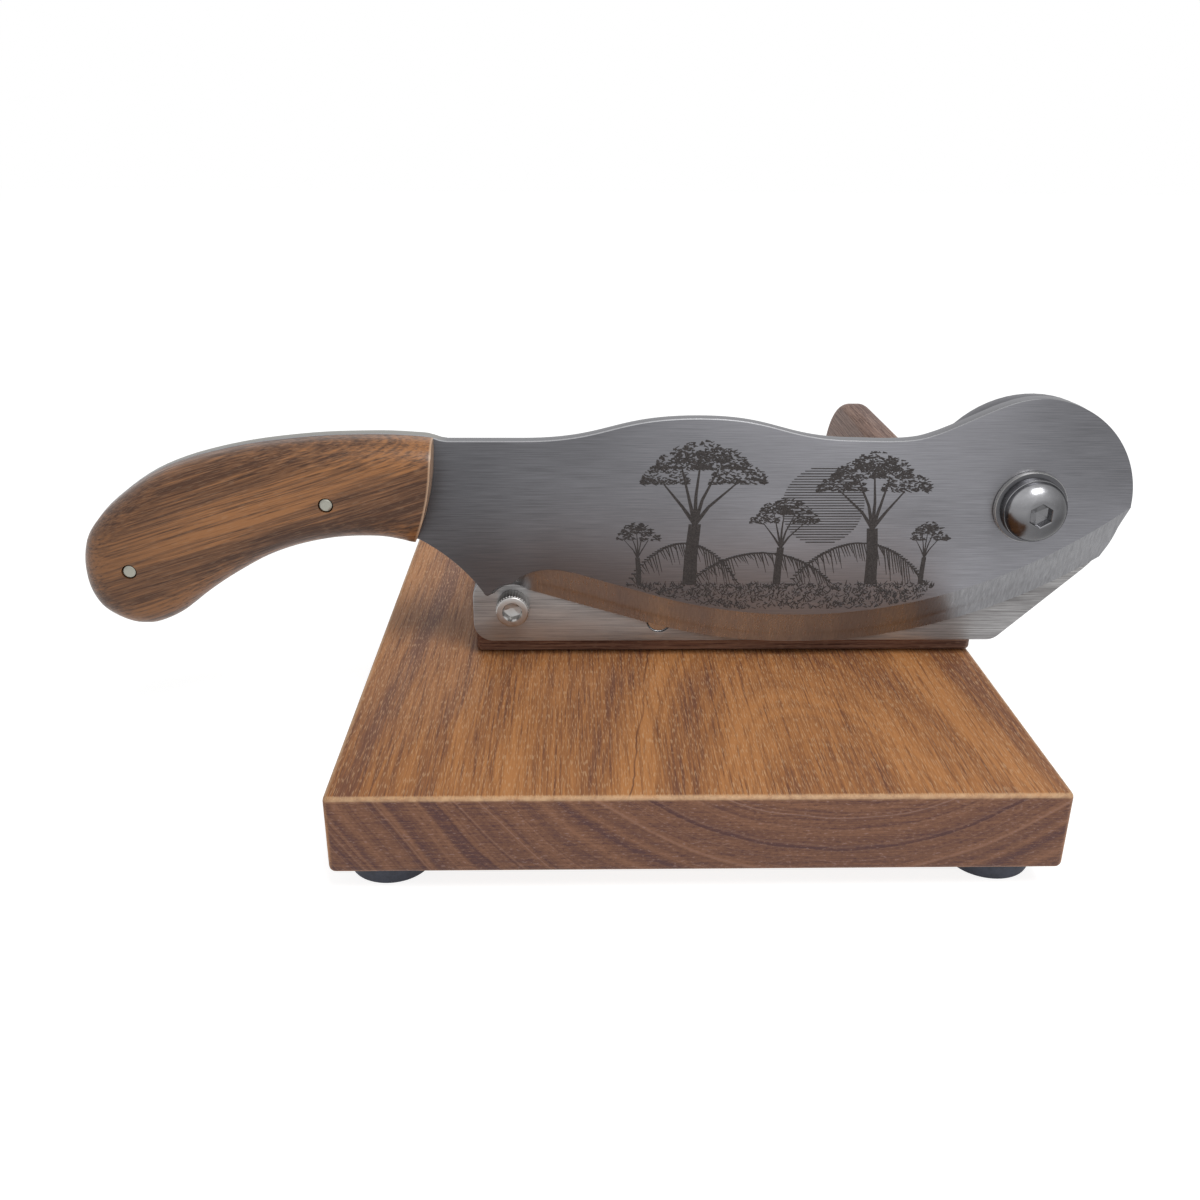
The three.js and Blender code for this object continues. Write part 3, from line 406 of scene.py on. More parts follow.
def rounded_rectangle(low, high, radius):
    left, front = low[:2] + radius
    right, back = high[:2] - radius
    corners = ((right, front), (right, back), (left, back), (left, front))
    quarter = math.pi / 2
    return np.concatenate([
        arc(corner, radius, (i - 1) * quarter, i * quarter, CORNER_STEPS) for i, corner in enumerate(corners)
    ])


def rings_about(node, axis, profile, count=ROUND_COUNT):
    """Rings about the axis through a node's middle. A radius is a number or a function of the angle."""
    angles = np.arange(count) * (2 * math.pi / count)
    around = np.stack([-np.sin(angles), np.cos(angles)], axis=1)
    rings = []
    for radius, level in profile:
        radii = np.array([radius(a) if callable(radius) else radius for a in angles])
        rings.append((middle_of(node, axis) + around * radii[:, None], level))
    return rings


def hexagon(width, turn=0.0):
    sixth = math.pi / 3
    return lambda angle: width / 2 / math.cos((angle + turn) % sixth - sixth / 2)


def within(shape, limit):
    return lambda angle: min(shape(angle), limit)


def knurled(radius):
    return lambda angle: radius - STOP_KNURL_DEPTH * (0.5 - 0.5 * math.cos(STOP_KNURLS * angle))


def cross(scale):
    """Radius of a driver's cross at an angle."""
    length, half = scale * CROSS_LENGTH, scale * CROSS_WIDTH / 2

    def radius(angle):
        across = max(abs(math.sin(angle)), TINY)
        along = max(abs(math.cos(angle)), TINY)
        return max(min(length / across, half / along), min(length / along, half / across))
    return radius


# Profiles of round pieces, as radii and levels
def edge_profile(edge, radius, face, way=1):
    return [(radius - inward, face + way * along) for inward, along in edge]


def cross_recess(face):
    return [(cross(size), face + CROSS_DEPTH * depth) for size, depth in CROSS_SHARES]


def socket_recess(shape, mouth, face, depth, cone, chamfer):
    """A driver's socket, from its pointed bottom to its mouth."""
    return [(POINT, face + depth + cone), (shape, face + depth), (shape, face + chamfer), (mouth, face)]


def shank_profile(radius, seat, end, chamfer):
    return [(radius, seat), (radius, end - chamfer), (radius - chamfer, end)]


def bore(node, radius, start, end, axis=Y):
    """A straight hole about the axis through a node's middle."""
    return rings_about(node, axis, [(radius, start), (radius, end)])


def countersink(node, axis, start, end, clearance, sink=0.0):
    """A hole for a countersunk screw."""
    head = radius_of(node) + SCREW_CLEARANCE
    shank = SCREW_SHANK + clearance
    seat = ends(node, axis)[0]
    return rings_about(node, axis, [
        (head, start), (head, seat + sink), (shank, seat + head - shank), (shank, end),
    ])


# Outlines taken from the frame
def outline_of(node, level):
    """The longest outline of a node's flat face at a level of Y, anticlockwise in X and Z."""
    bm = bmesh.new()
    bm.from_mesh(frame["nodes"][node].data)
    bmesh.ops.remove_doubles(bm, verts=bm.verts, dist=TINY)
    flat = {face for face in bm.faces if all(abs(v.co.y / MM - level) < LEVEL_SLACK for v in face.verts)}
    beside = {}
    for edge in bm.edges:
        if sum(face in flat for face in edge.link_faces) == 1:
            for a, b in (edge.verts, reversed(edge.verts)):
                beside.setdefault(a, []).append(b)
    loops = []
    while beside:
        loop = [next(iter(beside))]
        while loop[-1] in beside:
            onward = [v for v in beside.pop(loop[-1]) if v in beside]
            loop.extend(onward[:1])
        points = np.array([(v.co.x / MM, v.co.z / MM) for v in loop])
        loops.append(points[np.append(True, np.abs(np.diff(points, axis=0)).sum(axis=1) > TINY)])
    bm.free()
    return anticlockwise(max(loops, key=len))


def anticlockwise(points):
    """An outline turned the right way round, from its leftmost point."""
    following = np.roll(points, -1, axis=0)
    area = (points[:, 0] * following[:, 1] - following[:, 0] * points[:, 1]).sum()
    points = points if area > 0 else points[::-1]
    return np.roll(points, -int(points[:, 0].argmin()), axis=0)


def smoothed(points, steps=OUTLINE_STEPS):
    """Adds points to each stretch of a closed outline, along a curve. Corners and long straights stay."""
    following = np.roll(points, -1, axis=0)
    way, length = ways(points)
    last_way, last_length = np.roll(way, 1, axis=0), np.roll(length, 1)
    tangent = (last_way * length[:, None] + way * last_length[:, None]) / (length + last_length)[:, None]
    corner = (last_way * way).sum(axis=1) < math.cos(OUTLINE_CORNER)
    straight = length > LONG_STRAIGHT * np.minimum(last_length, np.roll(length, -1))
    leave = np.where((corner | straight)[:, None], way, tangent)
    leave = np.where((np.roll(straight, 1) & ~corner)[:, None], last_way, leave)
    arrive = np.where((corner | np.roll(straight, 1))[:, None], last_way, tangent)
    arrive = np.where((straight & ~corner)[:, None], way, arrive)
    arrive = np.roll(arrive, -1, axis=0)
    rows = []
    for t in np.arange(steps) / steps:
        rows.append(
            points * (2 * t ** 3 - 3 * t ** 2 + 1) + following * (3 * t ** 2 - 2 * t ** 3)
            + (leave * (t ** 3 - 2 * t ** 2 + t) + arrive * (t ** 3 - t ** 2)) * length[:, None]
        )
    return np.clip(np.stack(rows, axis=1).reshape(-1, 2), points.min(axis=0), points.max(axis=0))


# Pieces
def linked(name, data):
    made = bpy.data.objects.new(name, data)
    bpy.context.scene.collection.objects.link(made)
    return made


def new_object(name, bm, materials):
    """Makes an object of a mesh in millimetres."""
    mesh = bpy.data.meshes.new(name)
    bm.to_mesh(mesh)
    bm.free()
    mesh.transform(Matrix.Scale(MM, 4))
    mesh.shade_smooth()
    mesh.set_sharp_from_angle(angle=SHARP_ANGLE)
    for material in materials:
        mesh.materials.append(material)
    return linked(name, mesh)


def piece(node_name, bm, materials):
    """Puts a mesh in place of a node, on the node's body."""
    made = new_object(node_name + "_fine", bm, materials)
    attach(made, frame["nodes"][node_name]["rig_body"])
    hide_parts(node_name)


def turned_piece(node, axis, profile, material, count=ROUND_COUNT, capped=True):
    """A piece turned about the axis through a node's middle."""
    bm = solid(rings_about(node, axis, profile, count), axis, capped=capped)
    piece(node, bm, [material])


def base_board(material):
    low, high = box("base_board")
    under, top = low[2], high[2]
    holes = []
    for screw in BOARD_SCREWS:
        holes.append(countersink(screw, Z, under, top - HOLE_COVER, 2 * SCREW_CLEARANCE))
    for corner in FOOT_CORNERS:
        holes.append(bore("foot_" + corner, FOOT_BORE, under, under + FOOT_PILOT_DEPTH, Z))
    rings = rounded_rings(rounded_rectangle(low, high, BOARD_CORNER_RADIUS), under, top, BOARD_EDGE_ROUND)
    piece("base_board", solid(rings, Z, holes), [material])


def anvil_block(material):
    low, high = box("anvil_block")
    outline = rounded_rectangle(low, high, BLOCK_CORNER_RADIUS)
    rings = rounded_rings(outline, low[2], high[2], BLOCK_EDGE_ROUND)
    piece("anvil_block", solid(rings, Z), [material])


def guide_fence(material):
    """Drawn from the side. Its top and rear edges are well rounded, those that bear on wood barely."""
    low, high = box("guide_fence")
    step_y, step_z = box("anvil_block")[1][1:] + SEAT_GAP
    rear = arc(high[1:] - FENCE_REAR_RADIUS, FENCE_REAR_RADIUS, 0, math.pi / 2, 4 * CORNER_STEPS)
    bearing = np.array([(low[1], step_z), (step_y, step_z), (step_y, low[2]), (high[1], low[2])])
    outline = np.concatenate([bearing, rear, [(low[1], high[2])]])
    radius = np.full(len(outline), FENCE_TOP_ROUND)
    radius[:len(bearing)] = FENCE_BOTTOM_ROUND
    rings = rounded_rings(outline, low[0], high[0], radius, 2 * EDGE_STEPS)
    piece("guide_fence", solid(rings, X), [material])


def shear_plate(material):
    front, back = ends("shear_plate", Y)
    outline = smoothed(outline_of("shear_plate", front))
    rings = rounded_rings(outline, front, back, STEEL_EDGE_ROUND, SMALL_EDGE_STEPS)
    holes = [
        bore("pivot_bolt", PIVOT_BORE, front, back),
        bore("stop_screw", STOP_SHANK + SCREW_CLEARANCE, front, back),
    ]
    for screw in PLATE_SCREWS:
        holes.append(countersink(screw, Y, front, back, SCREW_CLEARANCE, SCREW_GAP))
    piece("shear_plate", solid(rings, Y, holes), [material])


def pin_radius(node):
    return PIN_SHARE * radius_of(node)


def pin_bores(start, end):
    return [bore(pin, pin_radius(pin) + PIN_GAP, start, end) for pin in PINS]


def blade(face, ground):
    low, high = ends("blade", Y)
    front, back = [smoothed(outline_of("blade", level)) for level in (low, high)]
    curve = STEEL_EDGE_ROUND * EDGE_SHARE
    rings = [
        (inset(front, STEEL_EDGE_ROUND), low), (inset(front, curve), low + curve),
        (front, low + STEEL_EDGE_ROUND), (back, high - BLADE_LAND),
        (back, high - BLADE_BACK_ROUND), (inset(back, BLADE_BACK_ROUND), high),
    ]
    bm = solid(rings, Y, [bore("pivot_bolt", PIVOT_BORE, low, high)] + pin_bores(low, high))
    for part in bm.faces:
        leaning = BEVEL_NORMAL[0] < part.normal.y < BEVEL_NORMAL[1]
        part.material_index = int(leaning and part.calc_area() > BEVEL_LEAST)
    piece("blade", bm, [face, ground])


def resampled(points, count):
    """Points at even distances along an open line."""
    length = np.append(0, np.linalg.norm(np.diff(points, axis=0), axis=1).cumsum())
    places = np.linspace(0, length[-1], count)
    return np.stack([np.interp(places, length, points[:, i]) for i in (0, 1)], axis=1)


def handle_lines(node, level):
    """The handle's curve, from the bolster's top round the butt to its underside, and the bolster's line."""
    points = outline_of(node, level)
    way = ways(points)[0]
    turn = (way * np.roll(way, 1, axis=0)).sum(axis=1)
    lower, upper = sorted(np.argsort(turn)[:2])
    curve = np.concatenate([points[upper:], points[:lower + 1]])
    return curve, points[lower:upper + 1]


def scale_rings(curve, bolster, inner, outer, shy):
    """Rings of a crowned scale from its flat inner face outwards. Each ends on the bolster's line."""
    reach = (SCALE_REACH, 0)
    dense = smoothed(np.concatenate([[curve[0] + reach], curve, [curve[-1] + reach]]), 2 * OUTLINE_STEPS)

    def bolster_at(heights):
        return np.interp(heights, bolster[:, 1], bolster[:, 0])

    shares = 1 - np.cos(np.linspace(CROWN_START, math.pi / 2, CROWN_STEPS))
    rises = (1 - (1 - shares) ** SCALE_CROWN_POWER) ** (1 / SCALE_CROWN_POWER)
    wall = inner + math.copysign(SCALE_WALL, outer - inner)
    levels = wall + rises * (outer - wall)
    rings = []
    for share, level in zip(np.append(0, shares), np.append(inner, levels)):
        drawn = inset(dense, shy + share * (SCALE_CROWN - shy))
        line = resampled(drawn[drawn[:, 0] < bolster_at(drawn[:, 1])], SCALE_OUTLINE_COUNT)
        line[[0, -1], 0] = bolster_at(line[[0, -1], 1])
        heights = np.linspace(line[-1, 1], line[0, 1], BOLSTER_COUNT + 2)[1:-1]
        end = np.stack([bolster_at(heights), heights], axis=1)
        rings.append((np.concatenate([line, end]), level))
    return rings


def worked(bm, edge_round, tools):
    """The mesh with its sharp edges rounded and the tools cut away."""
    def lone(mesh_data):
        mesh = bpy.data.meshes.new("work")
        mesh_data.to_mesh(mesh)
        mesh_data.free()
        return linked("work", mesh)

    body = lone(bm)
    rounding = body.modifiers.new("round", "BEVEL")
    rounding.width = edge_round
    rounding.segments = SMALL_EDGE_STEPS
    rounding.limit_method = "ANGLE"
    rounding.angle_limit = SCALE_EDGE_ANGLE
    cutters = [lone(tool) for tool in tools]
    for cutter in cutters:
        cut = body.modifiers.new("cut", "BOOLEAN")
        cut.object = cutter
        cut.solver = "EXACT"
    result = bmesh.new()
    result.from_object(body, bpy.context.evaluated_depsgraph_get())
    for made in (body, *cutters):
        bpy.data.objects.remove(made)
    return result


def handle_scale(node, material):
    low, high = ends(node, Y)
    in_front = high < ends("blade", Y)[1]
    inner, outer = (high, low) if in_front else (low, high)
    shy = SCALE_SHY_FRONT if in_front else SCALE_SHY_REAR
    bm = solid(scale_rings(*handle_lines(node, inner), inner, outer, shy), Y)
    tools = [solid(rings, Y) for rings in pin_bores(low - CUT_PAST, high + CUT_PAST)]
    piece(node, worked(bm, SCALE_EDGE_ROUND, tools), [material])


def handle_pin(node, material):
    low, high = ends(node, Y)
    radius = pin_radius(node)
    dome = [(radius * share, low + PIN_DOME * depth) for share, depth in PIN_DOME_SHARES]
    turned_piece(node, Y, mirrored(dome, low, high), material)


def countersunk_screw(node, material, axis):
    start, end = ends(node, axis)
    head = radius_of(node)
    profile = [
        *cross_recess(start), (head - SCREW_GAP, start), (head - SCREW_GAP, start + SCREW_GAP),
        (SCREW_SHANK, start + head - SCREW_SHANK), (SCREW_SHANK, end - SCREW_TIP), (POINT, end),
    ]
    turned_piece(node, axis, profile, material)


def stop_screw(material):
    front, end = ends("stop_screw", Y)
    seat = front + STOP_HEAD_HEIGHT
    radius = radius_of("stop_screw")
    knurl = knurled(radius)
    seat_in, seat_along = STOP_SEAT_EDGE
    socket = hexagon(STOP_SOCKET_WIDTH, STOP_SOCKET_TURN)
    profile = [
        *socket_recess(socket, STOP_SOCKET_MOUTH, front, *STOP_SOCKET_DEPTHS),
        *edge_profile(STOP_HEAD_EDGE, radius, front),
        (knurl, front + STOP_KNURL_START), (knurl, seat - seat_along), (radius - seat_in, seat),
        *shank_profile(STOP_SHANK, seat, end, STOP_SHANK_CHAMFER),
    ]
    turned_piece("stop_screw", Y, profile, material, STOP_KNURLS * STOP_KNURL_FACETS)


def pivot_bolt(material):
    radius = radius_of("pivot_bolt")
    end = ends("pivot_bolt", Y)[1]
    seat = ends("pivot_washer_front", Y)[0] - SEAT_GAP
    rim = seat - PIVOT_HEAD_RIM
    crown = PIVOT_HEAD_HEIGHT - PIVOT_HEAD_RIM
    edge = radius - PIVOT_HEAD_STEP
    angles = np.linspace(math.asin(PIVOT_SOCKET_RIM / edge), math.pi / 2, 3 * EDGE_STEPS)
    dome = [(edge * math.sin(a), rim - crown * math.cos(a)) for a in angles]
    socket, mouth = hexagon(PIVOT_SOCKET_WIDTH), hexagon(PIVOT_SOCKET_MOUTH)
    profile = [
        *socket_recess(socket, mouth, dome[0][1], *PIVOT_SOCKET_DEPTHS),
        *dome, *edge_profile(PIVOT_RIM_EDGE, radius, rim),
        (radius, seat - PIVOT_SEAT_EDGE), (radius - PIVOT_SEAT_EDGE, seat),
        *shank_profile(PIVOT_SHANK, seat, end, PIVOT_SHANK_CHAMFER),
    ]
    turned_piece("pivot_bolt", Y, profile, material)


def washer(node, material, bore_radius, axis, edge):
    low, high = ends(node, axis)
    outer = radius_of(node)
    curve = edge * EDGE_SHARE
    half = [
        (bore_radius, low + edge), (bore_radius + edge, low), (outer - edge, low),
        (outer - curve, low + curve), (outer, low + edge),
    ]
    turned_piece(node, axis, mirrored(half, low, high) + half[:1], material, capped=False)


def lock_nut(material):
    front, back = ends("pivot_lock_nut", Y)
    shoulder = front + NUT_HEX_HEIGHT
    flats = hexagon(NUT_WIDTH)
    chamfered = within(flats, NUT_WIDTH / 2)
    start, end = NUT_CORNER
    collar_in, collar_along = NUT_COLLAR_EDGE
    pocket = NUT_COLLAR_RADIUS - NUT_COLLAR_WALL
    mouth = (PIVOT_BORE, front + NUT_BORE_CHAMFER)
    profile = [
        mouth, (PIVOT_BORE + NUT_BORE_CHAMFER, front), (NUT_WIDTH / 2 - NUT_FACE_INSET, front),
        *mirrored([(chamfered, front + start), (flats, front + end)], front, shoulder),
        (NUT_COLLAR_RADIUS, shoulder), (NUT_COLLAR_RADIUS, back - collar_along),
        (NUT_COLLAR_RADIUS - collar_in, back), (pocket, back), (pocket, shoulder),
        (PIVOT_BORE, shoulder), mouth,
    ]
    turned_piece("pivot_lock_nut", Y, profile, material, capped=False)


def foot(node, material):
    top = ends(node, Z)[1]
    mouth = (FOOT_RECESS_RADIUS, FOOT_RECESS_EDGE)
    profile = [
        mouth, (FOOT_RECESS_RADIUS + FOOT_RECESS_EDGE, 0),
        *edge_profile(FOOT_BOTTOM_EDGE, FOOT_BOTTOM_RADIUS, 0),
        *edge_profile(FOOT_TOP_EDGE, radius_of(node), top, -1),
        (FOOT_BORE, top), (FOOT_BORE, FOOT_RECESS_DEPTH), (FOOT_RECESS_RADIUS, FOOT_RECESS_DEPTH), mouth,
    ]
    turned_piece(node, Z, profile, material, capped=False)


def foot_screw(node, material):
    start, end = ends(node, Z)
    head = radius_of(node)
    seat = start + FOOT_SCREW_HEAD_HEIGHT
    profile = [
        *cross_recess(start), *((head * share, start + depth) for share, depth in FOOT_SCREW_HEAD),
        (head, seat), (FOOT_SCREW_SHANK, seat), (FOOT_SCREW_SHANK, end - FOOT_SCREW_TIP), (POINT, end),
    ]
    turned_piece(node, Z, profile, material)


# Engraving on the blade: thorn trees, hills and a low sun, drawn as fine strokes
class Engraving:
    """Collects tapered strokes on the blade's front face. Places are measured from the pivot."""

    def __init__(self):
        self.random = random.Random(ENGRAVING_SEED)
        self.strokes = []

    def stroke(self, start, end, start_width, end_width):
        self.strokes.append((Vector(start), Vector(end), start_width, end_width))

    def sprig(self, start, length, angle, start_width, end_width):
        end = (start[0] + length * math.cos(angle), start[1] + length * math.sin(angle))
        self.stroke(start, end, start_width, end_width)

    def limb(self, points, start_width, end_width):
        """A bent line of strokes that grows thinner."""
        widths = np.linspace(start_width, end_width, len(points))
        for i in range(len(points) - 1):
            self.stroke(points[i], points[i + 1], widths[i], widths[i + 1])

    def leaves(self, centre, half_width, height):
        """Short strokes inside a flat-bottomed dome, denser towards its underside."""
        for _ in range(int(half_width * height * LEAF_DENSITY)):
            x = self.random.uniform(-1, 1)
            z = math.sqrt(1 - x * x) * self.random.random() ** LEAF_SINK
            angle = self.random.uniform(-LEAF_TILT, LEAF_TILT)
            length = self.random.uniform(*LEAF_LENGTH)
            start = (centre[0] + x * half_width, centre[1] + z * height)
            self.sprig(start, length, angle, self.random.uniform(*LEAF_WIDTH), LEAF_WIDTH[0] / 2)

    def tree(self, x, height, spread, trunk, lean):
        """A flat-topped thorn tree: a leaning trunk, branches that fan out and layered crowns."""
        bend, fork = [(x + lean * u, GROUND + height * v) for u, v in (TREE_BEND, TREE_FORK)]
        for shift in trunk * np.linspace(-TRUNK_HALF, TRUNK_HALF, TRUNK_STROKES):
            line = [(u + shift, v) for u, v in ((x, GROUND), bend, fork)]
            self.limb(line, *(trunk * share for share in TRUNK_WIDTHS))
        for side in np.linspace(-1, 1, CROWN_COUNT):
            level = CROWN_HEIGHT + CROWN_BOW[0] * math.cos(side * CROWN_BOW[1])
            centre = (x + lean + side * spread * CROWN_SPREAD, GROUND + height * level)
            drop = height * BRANCH_KNEE[1]
            knee = (fork[0] + side * spread * BRANCH_KNEE[0], (fork[1] + centre[1]) / 2 - drop)
            self.limb([fork, knee, centre], *(trunk * share for share in BRANCH_WIDTHS))
            self.leaves(centre, spread * self.random.uniform(*CROWN_HALF), height * CROWN_DEPTH)

    def hill(self, left, right, height):
        """A rounded hill with hatching down its shaded side."""
        least, most, more = HATCH_DEPTH
        for x in np.arange(left, right, HATCH_STEP):
            share = (x - left) / (right - left)
            top = GROUND + height * math.sin(math.pi * share) ** HILL_POWER
            bottom = max(top - height * self.random.uniform(least, most + more * share), GROUND)
            self.stroke((x, top), (x + HATCH_LEAN, bottom), HATCH_WIDTH, HATCH_WIDTH / 3)
            ridge = top + self.random.uniform(-RIDGE_WAVER, RIDGE_WAVER)
            self.stroke((x - HATCH_STEP, top), (x + HATCH_STEP, ridge), HATCH_WIDTH, HATCH_WIDTH)

    def sun(self, centre, radius, horizon):
        """A disc of level lines, cut off by the horizon."""
        for z in np.arange(max(horizon, centre[1] - radius), centre[1] + radius, SUN_LINE_STEP):
            half = math.sqrt(radius ** 2 - (z - centre[1]) ** 2)
            self.stroke((centre[0] - half, z), (centre[0] + half, z), SUN_LINE_WIDTH, SUN_LINE_WIDTH)

    def grass(self, left, right, depth):
        """Stipple and blades of grass that thin out towards the viewer."""
        for _ in range(int((right - left) * GRASS_DENSITY)):
            down = depth * self.random.random() ** GRASS_POWER
            x = self.random.uniform(left + down, right - down)
            length = self.random.uniform(*GRASS_LENGTH)
            angle = self.random.uniform(*GRASS_ANGLES)
            self.sprig((x, GROUND - down), length, angle, GRASS_WIDTH, GRASS_WIDTH / 3)

    def mesh(self, pivot, face, lowest):
        """Closed slivers that stand a hair proud of the face. What would reach below it is left out."""
        bm = bmesh.new()
        for start, end, start_width, end_width in self.strokes:
            if min(start.y - lowest(start.x), end.y - lowest(end.x)) < EDGE_MARGIN:
                continue
            levels = (face - self.random.uniform(*ENGRAVING_RELIEF), face + ENGRAVING_SINK)
            way = (end - start).normalized()
            aside = Vector((-way.y, way.x)) / 2
            corners = [start + aside * start_width, start - aside * start_width,
                       end - aside * end_width, end + aside * end_width]
            outline = [(pivot[0] + corner.x, pivot[1] + corner.y) for corner in corners]
            for row in strip(bm, [(outline, level) for level in levels], Y):
                bm.faces.new(row)
        bmesh.ops.recalc_face_normals(bm, faces=bm.faces)
        return bm


def blade_engraving(material):
    drawing = Engraving()
    drawing.sun(*SUN)
    for hill in HILLS:
        drawing.hill(*hill)
    for tree in TREES:
        drawing.tree(*tree)
    drawing.grass(*GRASS)
    pivot = middle_of("pivot_bolt")
    face = ends("blade", Y)[0]
    outline = outline_of("blade", face) - pivot
    under = outline[outline[:, 1] < GROUND / 2]
    under = under[under[:, 0].argsort()]
    bm = drawing.mesh(pivot, face, lambda x: np.interp(x, under[:, 0], under[:, 1]))
    made = new_object("blade_engraving", bm, [material])
    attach(made, "blade")


# Material helpers
def rgb(*colour):
    """A colour as the shader's linear values."""
    shares = [c / 255 for c in colour]
    linear = [c / 12.92 if c <= 0.04045 else ((c + 0.055) / 1.055) ** 2.4 for c in shares]
    return (*linear, 1.0)


def put(socket, value):
    """Gives an input a constant or another node's output."""
    if isinstance(value, bpy.types.NodeSocket):
        socket.id_data.links.new(value, socket)
    else:
        socket.default_value = value


def added(kind, inputs, tree=None, **settings):
    """A new node, in the tree that its inputs come from unless a tree is given."""
    sources = [value for value in inputs.values() if isinstance(value, bpy.types.NodeSocket)]
    made = (tree or sources[0].id_data).nodes.new(kind)
    for key, value in settings.items():
        setattr(made, key, value)
    for socket, value in inputs.items():
        put(made.inputs[socket], value)
    return made


def maths(operation, *values, clamp=False):
    made = added("ShaderNodeMath", dict(enumerate(values)), operation=operation, use_clamp=clamp)
    return made.outputs[0]


def product(first, *others):
    for other in others:
        first = maths("MULTIPLY", first, other)
    return first


def distance(across, above):
    squares = [maths("POWER", part, 2.0) for part in (across, above)]
    return maths("SQRT", maths("ADD", *squares))


def noise(place, scales, detail=2.0, roughness=0.5):
    """Noise in space, with a scale for each axis."""
    stretched = added("ShaderNodeVectorMath", {0: place, 1: scales}, operation="MULTIPLY").outputs[0]
    inputs = {"Vector": stretched, "Scale": 1.0, "Detail": detail, "Roughness": roughness}
    return added("ShaderNodeTexNoise", inputs).outputs[0]


def noise_along(length, scale, detail=2.0, roughness=0.5):
    """Noise along a line."""
    inputs = {"W": length, "Scale": scale, "Detail": detail, "Roughness": roughness}
    return added("ShaderNodeTexNoise", inputs, noise_dimensions="1D").outputs[0]


def between(value, low, high, to_low=0.0, to_high=1.0):
    inputs = {0: value, 1: low, 2: high, 3: to_low, 4: to_high}
    return added("ShaderNodeMapRange", inputs).outputs[0]


def weighted(terms):
    """A half, plus each value's distance from a half times its weight."""
    total = 0.5
    for value, weight in terms:
        total = maths("MULTIPLY_ADD", maths("SUBTRACT", value, 0.5), weight, total)
    return total


def ramp(factor, places, colours):
    made = added("ShaderNodeValToRGB", {0: factor})
    elements = made.color_ramp.elements
    while len(elements) < len(places):
        elements.new(0.5)
    for element, place, colour in zip(elements, places, colours):
        element.position = place
        element.color = colour
    return made.outputs[0]


def blend(factor, first, second, mode="MIX"):
    inputs = {0: factor, 6: first, 7: second}
    return added("ShaderNodeMix", inputs, data_type="RGBA", blend_type=mode).outputs[2]


def marked(colour, mark, value, start, full, share=1.0):
    """A colour that turns into a mark's as a value runs from a start to where it is full."""
    return blend(between(value, start, full, 0.0, share), colour, mark)


def shaded(colour, axes, shades):
    for axis, start, full, depth in shades:
        colour = marked(colour, BLACK, axes[axis], start, full, depth)
    return colour


def dress(shader, colour, grain, roughness, height, depth, strength=0.5):
    """Joins a colour, a roughness that runs between two values with a grain, and a bump to a shader."""
    inputs = {"Height": height, "Distance": depth * MM, "Strength": strength}
    put(shader.inputs["Base Color"], colour)
    put(shader.inputs["Roughness"], between(grain, *NOISE_SPAN, *roughness))
    put(shader.inputs["Normal"], added("ShaderNodeBump", inputs).outputs[0])


def surface(name):
    material = bpy.data.materials.new(name)
    material.use_nodes = True
    tree = material.node_tree
    return material, tree, tree.nodes["Principled BSDF"]


def object_place(tree, turn=(0, 0, 0)):
    """Millimetres in the piece's own frame, turned so that the grain runs along Y."""
    coordinates = tree.nodes.new("ShaderNodeTexCoord")
    inputs = {"Vector": coordinates.outputs["Object"], "Rotation": turn, "Scale": (1 / MM,) * 3}
    return added("ShaderNodeMapping", inputs).outputs[0]


def object_normal(tree, turn=(0, 0, 0)):
    coordinates = tree.nodes.new("ShaderNodeTexCoord")
    inputs = {"Vector": coordinates.outputs["Normal"], "Rotation": turn}
    return added("ShaderNodeMapping", inputs, vector_type="VECTOR").outputs[0]


def parts_of(vector):
    return added("ShaderNodeSeparateXYZ", {0: vector}).outputs


def facing(tree, turn=(0, 0, 0)):
    """How squarely the surface faces each axis, either way."""
    inputs = {0: object_normal(tree, turn)}
    return parts_of(added("ShaderNodeVectorMath", inputs, operation="ABSOLUTE").outputs[0])


# Wood
def ring_radius(place, pith, climb, waver):
    """Distance from a pith line that climbs along the grain, with slow waves."""
    x, y, z = parts_of(place)
    across = maths("SUBTRACT", x, pith[0])
    above = maths("SUBTRACT", z, maths("MULTIPLY_ADD", y, climb, pith[1]))
    waves = noise(place, (0.03, 0.008, 0.03), 1.0)
    return maths("MULTIPLY_ADD", waves, waver, distance(across, above))


def crack_share(tree):
    """A thin wavering line along the board's grain, near its top face."""
    low, high = box("base_board")
    start = (low[0] + high[0]) / 2 + CRACK_ASIDE - CRACK_WAVER / 2
    x, y, z = parts_of(object_place(tree))
    along = maths("SUBTRACT", y, low[1])
    drift = maths("MULTIPLY_ADD", along, CRACK_DRIFT, start)
    middle = maths("MULTIPLY_ADD", noise_along(along, 0.035, 3.0), CRACK_WAVER, drift)
    aside = maths("ABSOLUTE", maths("SUBTRACT", x, middle))
    broken = between(noise_along(along, 0.06), 0.3, 0.55, 0.15, 0.8)
    near_top = between(z, high[2] - CRACK_DEPTH, high[2])
    return product(broken, near_top, between(aside, CRACK_WIDTH, CRACK_CORE))


def circle_through(first, second, third):
    """Centre and radius of the circle through three points."""
    chords = np.array([second - first, third - first])
    centre = first + np.linalg.solve(2 * chords, (chords ** 2).sum(axis=1))
    return centre, np.linalg.norm(centre - first)


def bolster_highlight_share(tree):
    """A painted highlight line along the arc where the scales end at the bolster."""
    line = handle_lines("handle_scale_front", ends("handle_scale_front", Y)[1])[1]
    centre, radius = circle_through(line[0], line[len(line) // 2], line[-1])
    axes = parts_of(object_place(tree))
    away = distance(maths("SUBTRACT", axes[X], centre[0]), maths("SUBTRACT", axes[Z], centre[1]))
    return between(away, radius - BOLSTER_LINE, radius - BOLSTER_LINE / 3, 0.0, BOLSTER_HIGHLIGHT)


